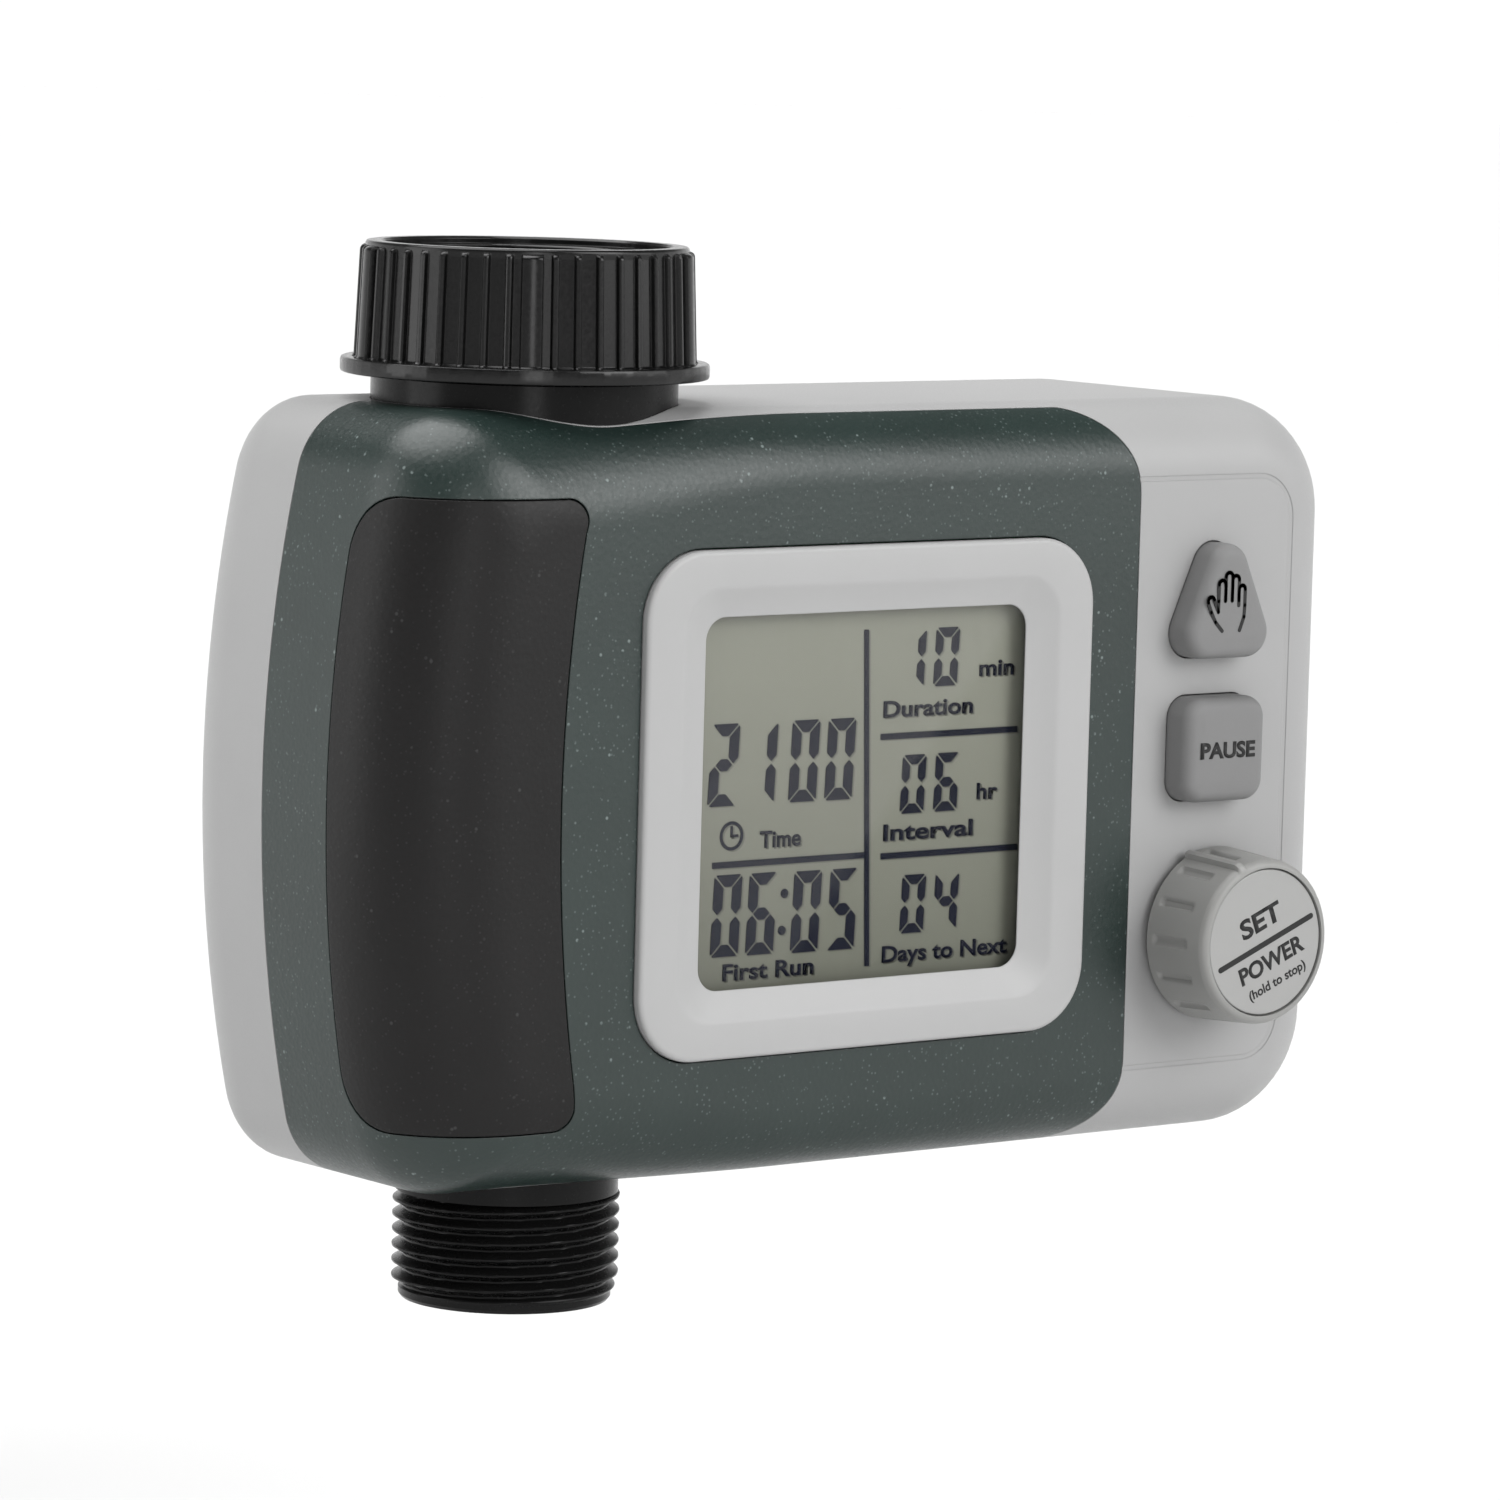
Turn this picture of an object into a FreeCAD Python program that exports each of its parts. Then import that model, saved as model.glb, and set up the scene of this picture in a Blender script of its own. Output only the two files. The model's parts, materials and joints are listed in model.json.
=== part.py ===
import FreeCAD, Part
import math
import os
import Sketcher
from FreeCAD import Placement, Rotation, Vector

# Hose-end drip irrigation timer. Millimetres, +Z up, the display faces -Y.
# The origin is on the valve axis, on the washer face where the tap's end lands.

doc = FreeCAD.newDocument("DripIrrigationTimer")
sheet = doc.addObject("Spreadsheet::Sheet", "Dimensions")

DIMENSIONS = {
    # case, seen from the front
    "case_left": -31.8,
    "case_right": 106.6,
    "case_top": -10.0,
    "case_bottom": -99.0,
    "case_front": -23.4,
    "case_back": 25.0,
    "case_wall": 2.2,
    "side_arc_radius": 172.0,
    "right_corner": 14.0,
    "left_corner": 9.4,
    "front_edge": 8.8,
    "back_edge": 7.0,
    "front_left_edge": 15.0,
    "back_left_edge": 11.0,
    "back_seam": 21.4,
    # green front cover and black valve panel
    "cover_right": 73.8,
    "cover_corner": 10.5,
    "cover_depth_line": -18.0,
    "cover_low_line": -14.2,
    "cover_side_line": 5.0,
    "neck_surround": 19.6,
    "panel_top": -19.4,
    "panel_bottom": -91.0,
    "panel_side_line": -8.0,
    "panel_right_mid": -10.0,
    "panel_right_end": -6.6,
    "panel_skin": 1.3,
    "panel_inner_corner": 2.5,
    "panel_outer_corner": 6.5,
    # display
    "display_x": 33.35,
    "display_z": -54.9,
    "bezel_wide": 62.3,
    "bezel_high": 55.0,
    "bezel_corner": 8.0,
    "bezel_face": -24.4,
    "bezel_flange": 1.8,
    "bezel_back": -19.9,
    "window_wide": 47.3,
    "window_high": 43.0,
    "window_corner": 2.75,
    "window_edge": -23.5,
    "lens_wide": 51.0,
    "lens_high": 46.7,
    "lens_front": -22.8,
    "lens_thick": 1.4,
    "lcd_front": -20.9,
    "lcd_thick": 2.2,
    "pcb_front": -14.6,
    "pcb_thick": 1.6,
    # buttons and knob
    "button_face": -27.5,
    "button_x": 85.4,
    "delay_z": -51.6,
    "delay_side": 12.6,
    "manual_z": -33.75,
    "manual_wide": 12.9,
    "manual_high": 13.8,
    "manual_corner": 3.1,
    "button_corner": 2.6,
    "button_lip": 1.2,
    "button_gap": 0.3,
    "key_travel": 1.2,
    "knob_x": 86.6,
    "knob_z": -74.1,
    "knob_radius": 10.5,
    "knob_face_radius": 9.9,
    "knob_face": -34.0,
    "knob_back": -24.4,
    "knob_cap_radius": 8.8,
    "knob_skirt": 5.0,
    "knob_hollow_radius": 8.0,
    "spindle_radius": 3.0,
    # valve and hose connections
    "neck_radius": 17.7,
    "neck_top": -7.3,
    "column_radius": 12.0,
    "bore_radius": 8.5,
    "nut_top": 7.9,
    "nut_bottom": -7.0,
    "nut_flange_radius": 21.25,
    "nut_flange_thick": 1.8,
    "nut_radius": 19.6,
    "nut_top_radius": 19.1,
    "tap_minor_radius": 15.15,
    "tap_major_radius": 16.62,
    "tap_pitch": 2.309,
    "spigot_radius": 12.2,
    "spigot_flange_radius": 14.2,
    "washer_thick": 2.2,
    "outlet_major_radius": 13.22,
    "outlet_root_radius": 12.06,
    "outlet_pitch": 1.814,
    "outlet_first_crest": -103.33,
    "outlet_neck_radius": 13.0,
    "outlet_end": -114.3,
    "chamber_y": 5.0,
    "chamber_z": -52.0,
    "chamber_radius": 15.5,
    "cavity_radius": 12.5,
    "outlet_neck_top": -95.2,
    "seat_radius": 6.5,
    "seat_bore": 4.8,
    "diaphragm_radius": 13.2,
    "poppet_radius": 8.2,
    # solenoid, along X on the chamber's axis
    "tube_radius": 4.8,
    "tube_bore": 4.05,
    "tube_end": 56.0,
    "plunger_radius": 3.98,
    "core_start": 49.5,
    "core_end": 56.7,
    "coil_start": 32.0,
    "coil_end": 54.0,
    "coil_cheek": 1.1,
    "coil_cheek_radius": 10.2,
    "coil_sleeve_radius": 5.8,
    "winding_radius": 10.0,
    "frame_side": 23.0,
    "frame_plate": 1.2,
    "frame_start": 30.7,
    "frame_end": 55.3,
    # battery drawer
    "drawer_left": 58.6,
    "drawer_right": 91.0,
    "drawer_front": -11.4,
    "drawer_back": 5.6,
    "drawer_top": -39.0,
    "drawer_gap": 0.3,
    "cell_radius": 7.15,
    "cell_length": 50.2,
    # fasteners
    "case_screw_radius": 1.5,
    "case_head_radius": 2.75,
}

for row, (alias, number) in enumerate(DIMENSIONS.items(), start=1):
    sheet.set(f"A{row}", alias)
    sheet.set(f"B{row}", str(number))
    sheet.setAlias(f"B{row}", alias)
doc.recompute()


# ---------------------------------------------------------------- helpers


class Dim:
    """A length that knows its number and its formula in the sheet."""

    def __init__(self, number, formula):
        self.number = number
        self.formula = formula

    def __float__(self):
        return self.number

    def __add__(self, other):
        other = as_dim(other)
        return Dim(self.number + other.number, f"({self.formula} + {other.formula})")

    def __sub__(self, other):
        other = as_dim(other)
        return Dim(self.number - other.number, f"({self.formula} - {other.formula})")

    def __mul__(self, factor):
        return Dim(self.number * factor, f"({self.formula} * {factor})")

    def __truediv__(self, divisor):
        return Dim(self.number / divisor, f"({self.formula} / {divisor})")

    def __radd__(self, other):
        return as_dim(other) + self

    def __rsub__(self, other):
        return as_dim(other) - self

    def __rmul__(self, factor):
        return self * factor

    def __neg__(self):
        return Dim(-self.number, f"(0 - {self.formula})")


def as_dim(amount):
    if isinstance(amount, Dim):
        return amount
    return Dim(float(amount), f"({float(amount)})")


class Names:
    """One attribute for each cell of the sheet."""


dim = Names()
size = Names()
for alias in DIMENSIONS:
    cell = float(sheet.get(alias))
    setattr(size, alias, cell)
    setattr(dim, alias, Dim(cell, f"Dimensions.{alias}"))

parts = []


def bind(thing, prop, amount):
    """Bind one property to a formula of the sheet's cells."""
    thing.setExpression(prop, as_dim(amount).formula)


def place(thing, x, y, z):
    bind(thing, "Placement.Base.x", x)
    bind(thing, "Placement.Base.y", y)
    bind(thing, "Placement.Base.z", z)


def keep(thing, name):
    """Name a finished sub-part."""
    thing.Label = name
    parts.append(thing)
    return thing


AXES = {
    "X": Rotation(Vector(0, 1, 0), 90),
    "Y": Rotation(Vector(1, 0, 0), -90),
    "Z": Rotation(),
}


def cylinder(radius, length, x, y, z, axis="Z"):
    """A cylinder that starts at x, y, z and runs along +axis."""
    thing = doc.addObject("Part::Cylinder", "Cylinder")
    thing.Placement = Placement(Vector(), AXES[axis])
    bind(thing, "Radius", radius)
    bind(thing, "Height", length)
    place(thing, x, y, z)
    return thing


def box(length, width, height, x, y, z):
    """A box from its lowest corner."""
    thing = doc.addObject("Part::Box", "Box")
    bind(thing, "Length", length)
    bind(thing, "Width", width)
    bind(thing, "Height", height)
    place(thing, x, y, z)
    return thing


def turned_box(length, width, height, reach, z, around):
    """A box lying across the valve axis at height z, its near end at reach, turned about that axis."""
    thing = doc.addObject("Part::Box", "TurnedBox")
    bind(thing, "Length", length)
    bind(thing, "Width", width)
    bind(thing, "Height", height)
    turn = Rotation(Vector(0, 0, 1), around)
    thing.Placement = Placement(turn.multVec(Vector(reach, -width / 2, z)), turn)
    return thing


def fuse(*things):
    thing = doc.addObject("Part::MultiFuse", "Fuse")
    thing.Shapes = list(things)
    return thing


def cut(base, *tools):
    thing = doc.addObject("Part::Cut", "Cut")
    thing.Base = base
    thing.Tool = tools[0] if len(tools) == 1 else fuse(*tools)
    return thing


def ring(outer, inner, length, x, y, z, axis="Z"):
    """A plain tube."""
    return cut(cylinder(outer, length, x, y, z, axis), cylinder(inner, length, x, y, z, axis))


def group(things):
    """Identical loose solids that share one sub-part."""
    thing = doc.addObject("Part::Compound", "Group")
    thing.Links = list(things)
    return thing


def feature(shape, name):
    thing = doc.addObject("Part::Feature", name)
    thing.Shape = shape
    thing.Placement = Placement()
    return thing


def arc_between(centre, radius, start, end, y):
    """An arc in the front view, angles in degrees from +X towards +Z."""
    points = []
    for angle in (start, (start + end) / 2, end):
        turn = math.radians(angle)
        points.append(Vector(centre[0] + radius * math.cos(turn), y, centre[1] + radius * math.sin(turn)))
    return Part.Arc(*points).toShape()


def joined(arcs):
    """Close a run of arcs with straight lines between them."""
    edges = []
    for here, after in zip(arcs, arcs[1:] + arcs[:1]):
        edges.append(here)
        start = here.valueAt(here.LastParameter)
        end = after.valueAt(after.FirstParameter)
        if start.distanceToPoint(end) > 1e-6:
            edges.append(Part.makeLine(start, end))
    return Part.Wire(edges)


def rounded_outline(left, right, bottom, top, radius, y):
    """A rounded rectangle in the front view."""
    corners = [
        ((right - radius, bottom + radius), -90, 0),
        ((right - radius, top - radius), 0, 90),
        ((left + radius, top - radius), 90, 180),
        ((left + radius, bottom + radius), 180, 270),
    ]
    return joined([arc_between(centre, radius, start, end, y) for centre, start, end in corners])


def extruded(wire, depth):
    return Part.Face(wire).extrude(Vector(0, depth, 0))


def rounded_slab(x, z, wide, high, radius, front, back):
    outline = rounded_outline(x - wide / 2, x + wide / 2, z - high / 2, z + high / 2, radius, front)
    return extruded(outline, back - front)


# ---------------------------------------------------------------- case envelope

MIDDLE_Z = (size.case_top + size.case_bottom) / 2


def case_outline(inset, y):
    """The case's front view: flat top, bottom and right side, bowed left side."""
    top = size.case_top - inset
    bottom = size.case_bottom + inset
    right = size.case_right - inset
    bow = size.side_arc_radius - inset
    bow_x = size.case_left + size.side_arc_radius
    small = size.left_corner - inset
    large = size.right_corner - inset
    reach = math.sqrt((bow - small) ** 2 - (top - small - MIDDLE_Z) ** 2)
    small_x = bow_x - reach
    tilt = math.degrees(math.atan2(top - small - MIDDLE_Z, reach))
    return joined([
        arc_between((right - large, bottom + large), large, -90, 0, y),
        arc_between((right - large, top - large), large, 0, 90, y),
        arc_between((small_x, top - small), small, 90, 180 - tilt, y),
        arc_between((bow_x, MIDDLE_Z), bow, 180 - tilt, 180 + tilt, y),
        arc_between((small_x, bottom + small), small, 180 + tilt, 270, y),
    ])


def edges_at(shape, y):
    return [edge for edge in shape.Edges if all(abs(v.Y - y) < 1e-6 for v in edge.Vertexes)]


def case_envelope(inset):
    """The outside of the case moved in by inset on every side."""
    front = size.case_front + inset
    back = size.case_back - inset
    block = extruded(case_outline(inset, front), back - front)
    block = block.makeFillet(size.front_edge - inset, edges_at(block, front))
    block = block.makeFillet(size.back_edge - inset, edges_at(block, back))
    bow_x = size.case_left + size.side_arc_radius
    disc = Part.makeCylinder(
        size.side_arc_radius - inset, back - front, Vector(bow_x, front, MIDDLE_Z), Vector(0, 1, 0)
    )
    disc = disc.makeFillet(size.front_left_edge - inset, edges_at(disc, front))
    disc = disc.makeFillet(size.back_left_edge - inset, edges_at(disc, back))
    return block.common(disc)


def upright(points, low, high):
    """A plan-view outline of points, drawn up from low to high."""
    corners = [Vector(x, y, low) for x, y in points]
    return Part.Face(Part.makePolygon(corners + corners[:1])).extrude(Vector(0, 0, high - low))


FAR = 200.0


def cover_region():
    """Where the case is green: the front, and the left side round the neck."""
    behind_edge = size.front_edge - (size.cover_depth_line - size.case_front)
    drop = size.front_edge - math.sqrt(size.front_edge ** 2 - behind_edge ** 2) - 0.03
    outline = rounded_outline(
        -FAR, size.cover_right, size.case_bottom - 0.03, size.case_top - drop, size.cover_corner, -FAR
    )
    lower_half = Part.makeBox(2 * FAR, 2 * FAR, FAR + MIDDLE_Z, Vector(-FAR, -FAR, -FAR))
    lower = extruded(outline, FAR + size.cover_low_line).common(lower_half)
    front = extruded(outline, FAR + size.cover_depth_line).fuse(lower)
    plan = [(-FAR, -FAR), (0, -FAR), (0, size.cover_side_line), (-FAR, size.cover_side_line)]
    side = upright(plan, -FAR, FAR)
    around_neck = Part.makeCylinder(size.neck_surround, 2 * FAR, Vector(0, 0, -FAR))
    behind_line = Part.makeBox(2 * FAR, FAR, 2 * FAR, Vector(-FAR, size.cover_depth_line, -FAR))
    return front.fuse(side.cut(around_neck.common(behind_line)))


def panel_region():
    """Where the valve panel lies: it wraps the front left edge."""
    right_edge = [
        Vector(size.panel_right_end, -FAR, size.panel_bottom),
        Vector(size.panel_right_mid, -FAR, MIDDLE_Z),
        Vector(size.panel_right_end, -FAR, size.panel_top),
    ]
    bow = Part.Arc(*right_edge).toShape()
    far_top = Vector(-FAR, -FAR, size.panel_top)
    far_bottom = Vector(-FAR, -FAR, size.panel_bottom)
    wire = Part.Wire([
        bow,
        Part.makeLine(right_edge[2], far_top),
        Part.makeLine(far_top, far_bottom),
        Part.makeLine(far_bottom, right_edge[0]),
    ])
    front_view = extruded(wire, 2 * FAR)
    uprights = [edge for edge in front_view.Edges if is_panel_corner(edge)]
    front_view = front_view.makeFillet(size.panel_inner_corner, uprights)
    high = size.panel_top - size.panel_bottom
    side_view = Part.makeBox(FAR, FAR + size.panel_side_line, high, Vector(-FAR, -FAR, size.panel_bottom))
    rounded = [edge for edge in side_view.Edges if is_side_corner(edge)]
    side_view = side_view.makeFillet(size.panel_outer_corner, rounded)
    return front_view.common(side_view.fuse(Part.makeBox(FAR, FAR, 2 * FAR, Vector(-20, -FAR - 15, -FAR))))


def is_panel_corner(edge):
    """An edge along Y at the panel's right-hand corners."""
    return all(abs(v.X - size.panel_right_end) < 1e-6 for v in edge.Vertexes) and edge.Length > FAR


def is_side_corner(edge):
    """An edge along X at the panel's rear corners."""
    return all(abs(v.Y - size.panel_side_line) < 1e-6 for v in edge.Vertexes) and edge.Length > FAR / 2


def drilled_along_y(x, z, radius, start, end):
    return Part.makeCylinder(radius, end - start, Vector(x, start, z), Vector(0, 1, 0))


# ---------------------------------------------------------------- buttons' outlines


def manual_outline(inset, y):
    """Rounded triangle, point up, for the hand button."""
    radius = size.manual_corner - inset
    half = size.manual_wide / 2 - size.manual_corner
    low = size.manual_z - size.manual_high / 2 + size.manual_corner
    high = size.manual_z + size.manual_high / 2 - size.manual_corner
    lean = math.degrees(math.atan2(half, high - low))
    return joined([
        arc_between((size.button_x - half, low), radius, 180 - lean, 270, y),
        arc_between((size.button_x + half, low), radius, 270, 360 + lean, y),
        arc_between((size.button_x, high), radius, lean, 180 - lean, y),
    ])


def delay_outline(inset, y):
    """Rounded square for the delay button."""
    half = size.delay_side / 2 - inset
    return rounded_outline(
        size.button_x - half, size.button_x + half, size.delay_z - half, size.delay_z + half,
        size.button_corner - inset, y,
    )


BUTTONS = {"manual": (manual_outline, size.manual_z), "delay": (delay_outline, size.delay_z)}

# ---------------------------------------------------------------- case shells

CASE_SCREWS = [(-14.0, -20.0), (-14.0, -89.0), (45.0, -20.0), (45.0, -89.0), (95.0, -20.0), (95.0, -89.0)]
BOSS_RADIUS = 3.8
BOSS_START = 12.8
HEAD_SEAT = 22.9
SEAL_STRIP_INSET = 3.2
SEAL_STRIP_WIDE = 0.7
SEAL_STRIP_DEEP = 0.6

shell = case_envelope(0).cut(case_envelope(size.case_wall))
green = cover_region()
panel = panel_region()
skin_floor = case_envelope(size.panel_skin)


def gasket_shape():
    """The seal's strip, half in each shell."""
    start = size.back_seam - SEAL_STRIP_DEEP / 2
    outer = extruded(case_outline(SEAL_STRIP_INSET, start), SEAL_STRIP_DEEP)
    inner = extruded(case_outline(SEAL_STRIP_INSET + SEAL_STRIP_WIDE, start), SEAL_STRIP_DEEP)
    return outer.cut(inner)


def case_boss(x, z, start, end):
    """A screw boss with a web to the nearest long wall."""
    boss = drilled_along_y(x, z, BOSS_RADIUS, start, end)
    wall_z = size.case_top - 1.5 if z > MIDDLE_Z else size.case_bottom + 1.5
    low, high = sorted((z, wall_z))
    web = Part.makeBox(2.4, end - start, high - low, Vector(x - 1.2, start, low))
    return boss.fuse(web)


def make_main_housing():
    behind = Part.makeBox(2 * FAR, FAR, 2 * FAR, Vector(-FAR, size.back_seam, -FAR))
    body = shell.cut(green).cut(behind)
    for x, z in CASE_SCREWS:
        body = body.fuse(case_boss(x, z, BOSS_START, size.back_seam))
    for x, z in CASE_SCREWS:
        body = body.cut(drilled_along_y(x, z, 1.25, BOSS_START + 1, size.back_seam))
    for outline, _ in BUTTONS.values():
        body = body.cut(extruded(outline(-size.button_gap, size.case_front - 1), size.case_wall + 2))
    spindle_gap = size.spindle_radius + 0.5
    spindle_hole = drilled_along_y(size.knob_x, size.knob_z, spindle_gap, size.case_front - 1, -20.0)
    top_hole = Part.makeCylinder(size.neck_radius, 6, Vector(0, 0, size.case_top - 4))
    bottom_hole = Part.makeCylinder(size.outlet_neck_radius, 6, Vector(0, 0, size.case_bottom - 2))
    wide = size.drawer_right - size.drawer_left + 2 * size.drawer_gap
    deep = size.drawer_back - size.drawer_front + 2 * size.drawer_gap
    doorway = Part.makeBox(
        wide, deep, 6,
        Vector(size.drawer_left - size.drawer_gap, size.drawer_front - size.drawer_gap, size.case_bottom - 2),
    )
    for opening in (spindle_hole, top_hole, bottom_hole, doorway, gasket_shape()):
        body = body.cut(opening)
    return keep(feature(body, "MainHousing"), "main_housing")


def make_rear_cover():
    ahead = Part.makeBox(2 * FAR, FAR, 2 * FAR, Vector(-FAR, size.back_seam - FAR, -FAR))
    body = shell.cut(ahead)
    whole = case_envelope(0)
    for x, z in CASE_SCREWS:
        boss = case_boss(x, z, size.back_seam, size.case_back - 1)
        body = body.fuse(boss.common(whole))
    outside = size.case_back + 1
    for x, z in CASE_SCREWS:
        body = body.cut(drilled_along_y(x, z, size.case_screw_radius + 0.2, size.back_seam - 1, outside))
        body = body.cut(drilled_along_y(x, z, size.case_head_radius + 0.35, HEAD_SEAT, outside))
    body = body.cut(gasket_shape())
    return keep(feature(body, "RearCover"), "rear_cover")


def bezel_opening(grow, front, back):
    return rounded_slab(
        size.display_x, size.display_z, size.bezel_wide + 2 * grow, size.bezel_high + 2 * grow,
        size.bezel_corner + grow, front, back,
    )


PCB_SCREWS = [(7.4, -22.5), (7.4, -88.0), (50.0, -22.5), (50.0, -88.0)]


def make_front_cover():
    body = shell.common(green)
    body = body.cut(panel.cut(skin_floor))
    for x, z in PCB_SCREWS:
        body = body.fuse(drilled_along_y(x, z, 2.4, size.case_front + 1.5, size.pcb_front))
        body = body.cut(drilled_along_y(x, z, 0.9, size.case_front + 3, size.pcb_front))
    body = body.cut(bezel_opening(0, size.case_front - 2, size.pcb_front - 1))
    return keep(feature(body, "FrontCover"), "front_cover")


def make_valve_panel():
    body = case_envelope(0).cut(skin_floor).common(panel)
    return keep(feature(body, "ValvePanel"), "valve_panel")


make_main_housing()
make_rear_cover()
make_front_cover()
make_valve_panel()
keep(feature(gasket_shape(), "HousingGasket"), "housing_gasket")


# ---------------------------------------------------------------- sketched bodies


def new_body(label):
    body = doc.addObject("PartDesign::Body", label.title().replace("_", ""))
    return keep(body, label)


def sketch_facing_front(body, x, y, z):
    """A sketch in the front view, centred on x, z, lying at depth y."""
    sketch = body.newObject("Sketcher::SketchObject", "Sketch")
    face = next(part for part in body.Origin.OriginFeatures if part.Role == "XZ_Plane")
    sketch.AttachmentSupport = [(face, "")]
    sketch.MapMode = "FlatFace"
    bind(sketch, "AttachmentOffset.Base.x", x)
    bind(sketch, "AttachmentOffset.Base.y", z)
    bind(sketch, "AttachmentOffset.Base.z", -as_dim(y))
    return sketch


def constrain(sketch, kind, *where, amount=None):
    if amount is None:
        sketch.addConstraint(Sketcher.Constraint(kind, *where))
        return
    index = sketch.addConstraint(Sketcher.Constraint(kind, *where, float(amount)))
    sketch.setExpression(f"Constraints[{index}]", as_dim(amount).formula)


def draw_rounded(sketch, wide, high, radius):
    """A rounded rectangle centred on the sketch's origin."""
    half_x = float(wide) / 2
    half_y = float(high) / 2
    r = float(radius)
    centres = [
        (half_x - r, r - half_y),
        (half_x - r, half_y - r),
        (r - half_x, half_y - r),
        (r - half_x, r - half_y),
    ]
    ends = []
    for number, (x, y) in enumerate(centres):
        start = math.radians(90 * number - 90)
        stop = start + math.pi / 2
        circle = Part.Circle(Vector(x, y, 0), Vector(0, 0, 1), r)
        sketch.addGeometry(Part.ArcOfCircle(circle, start, stop), False)
        ends.append((
            Vector(x + r * math.cos(start), y + r * math.sin(start), 0),
            Vector(x + r * math.cos(stop), y + r * math.sin(stop), 0),
        ))
    for number in range(4):
        here = ends[number][1]
        after = ends[(number + 1) % 4][0]
        line = sketch.addGeometry(Part.LineSegment(here, after), False)
        constrain(sketch, "Tangent", number, 2, line, 1)
        constrain(sketch, "Tangent", line, 2, (number + 1) % 4, 1)
        constrain(sketch, "Vertical" if number in (0, 2) else "Horizontal", line)
    for number in (1, 2, 3):
        constrain(sketch, "Equal", 0, number)
    constrain(sketch, "Symmetric", 4, 1, 6, 1, -1, 1)
    constrain(sketch, "Radius", 0, amount=radius)
    constrain(sketch, "DistanceX", 6, 1, 4, 1, amount=wide)
    constrain(sketch, "DistanceY", 7, 1, 5, 1, amount=high)


def draw_circle(sketch, radius):
    circle = sketch.addGeometry(Part.Circle(Vector(), Vector(0, 0, 1), float(radius)), False)
    constrain(sketch, "Coincident", circle, 3, -1, 1)
    constrain(sketch, "Radius", circle, amount=radius)


def pad(body, sketch, length):
    """Add material from the sketch towards the back."""
    step = body.newObject("PartDesign::Pad", "Pad")
    step.Profile = sketch
    step.Reversed = True
    bind(step, "Length", length)
    body.Tip = step
    doc.recompute()
    return step


def pocket(body, sketch, length):
    """Remove material from the sketch towards the back."""
    before = body.Shape.Volume
    step = body.newObject("PartDesign::Pocket", "Pocket")
    step.Profile = sketch
    step.Reversed = False
    bind(step, "Length", length)
    body.Tip = step
    doc.recompute()
    if body.Shape.Volume >= before - 1e-6:
        raise RuntimeError(f"a pocket in {body.Label} removes nothing")
    return step


def rounded_pad(body, x, y, z, wide, high, radius, length):
    sketch = sketch_facing_front(body, x, y, z)
    draw_rounded(sketch, wide, high, radius)
    return pad(body, sketch, length)


def rounded_pocket(body, x, y, z, wide, high, radius, length):
    sketch = sketch_facing_front(body, x, y, z)
    draw_rounded(sketch, wide, high, radius)
    return pocket(body, sketch, length)


# ---------------------------------------------------------------- display


def make_bezel():
    body = new_body("display_bezel")
    at = (dim.display_x, dim.display_z)
    flange = 2 * dim.bezel_flange
    wall_back = dim.case_front + dim.case_wall
    rounded_pad(body, at[0], dim.bezel_face, at[1], dim.bezel_wide, dim.bezel_high, dim.bezel_corner,
                dim.bezel_back - dim.bezel_face)
    rounded_pad(body, at[0], wall_back, at[1], dim.bezel_wide + flange, dim.bezel_high + flange,
                dim.bezel_corner + dim.bezel_flange, dim.bezel_back - wall_back)
    dish = dim.window_edge - dim.bezel_face
    rounded_pocket(body, at[0], dim.bezel_face, at[1], dim.window_wide + 5, dim.window_high + 5,
                   dim.window_corner + 2.5, dish)
    rounded_pocket(body, at[0], dim.window_edge, at[1], dim.window_wide, dim.window_high,
                   dim.window_corner, 6)
    rounded_pocket(body, at[0], dim.lens_front, at[1], dim.lens_wide + 0.3, dim.lens_high + 0.3,
                   dim.window_corner + 0.9, 6)
    rounded_pocket(body, at[0], dim.lcd_front - 0.1, at[1], dim.lens_wide + 0.3, dim.lens_high + 0.3,
                   as_dim(0.5), 6)


def make_flat_piece(label, front, thick, wide, high, radius):
    """A flat rounded piece centred on the display."""
    body = new_body(label)
    rounded_pad(body, dim.display_x, front, dim.display_z, wide, high, radius, thick)
    return body


def make_lcd_frame():
    """The frame that holds the glass and its rubber connectors to the board."""
    body = new_body("lcd_frame")
    deep = dim.pcb_front - dim.bezel_back
    rounded_pad(body, dim.display_x, dim.bezel_back, dim.display_z, 57, 53, 3, deep)
    rounded_pocket(body, dim.display_x, dim.bezel_back, dim.display_z,
                   dim.lens_wide + 0.3, dim.lens_high + 0.3, 1, 8)


make_bezel()
make_flat_piece("display_lens", dim.lens_front, dim.lens_thick,
                dim.lens_wide, dim.lens_high, dim.window_corner + 0.8)
make_flat_piece("lcd_glass", dim.lcd_front, dim.lcd_thick,
                dim.lens_wide - 0.2, dim.lens_high - 0.2, as_dim(0.6))
make_lcd_frame()
LCD_BACK = dim.lcd_front + dim.lcd_thick
keep(group([
    box(46, dim.pcb_front - LCD_BACK, 2, dim.display_x - 23, LCD_BACK, dim.display_z + offset)
    for offset in (-22.5, 20.5)
]), "lcd_connector_strips")

# ---------------------------------------------------------------- circuit board


def make_board():
    body = new_body("main_pcb")
    rounded_pad(body, as_dim(51.6), dim.pcb_front, dim.display_z, 99, 73, 3, dim.pcb_thick)
    for x, z in PCB_SCREWS:
        sketch = sketch_facing_front(body, x, dim.pcb_front - 1, z)
        draw_circle(sketch, 1.2)
        pocket(body, sketch, dim.pcb_thick + 2)


PCB_BACK = dim.pcb_front + dim.pcb_thick


def board_screw(x, z):
    head = cylinder(2.0, 1.5, x, PCB_BACK, z, "Y")
    shank = cylinder(0.85, 6.5, x, PCB_BACK - 6, z, "Y")
    return fuse(head, shank)


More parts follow.
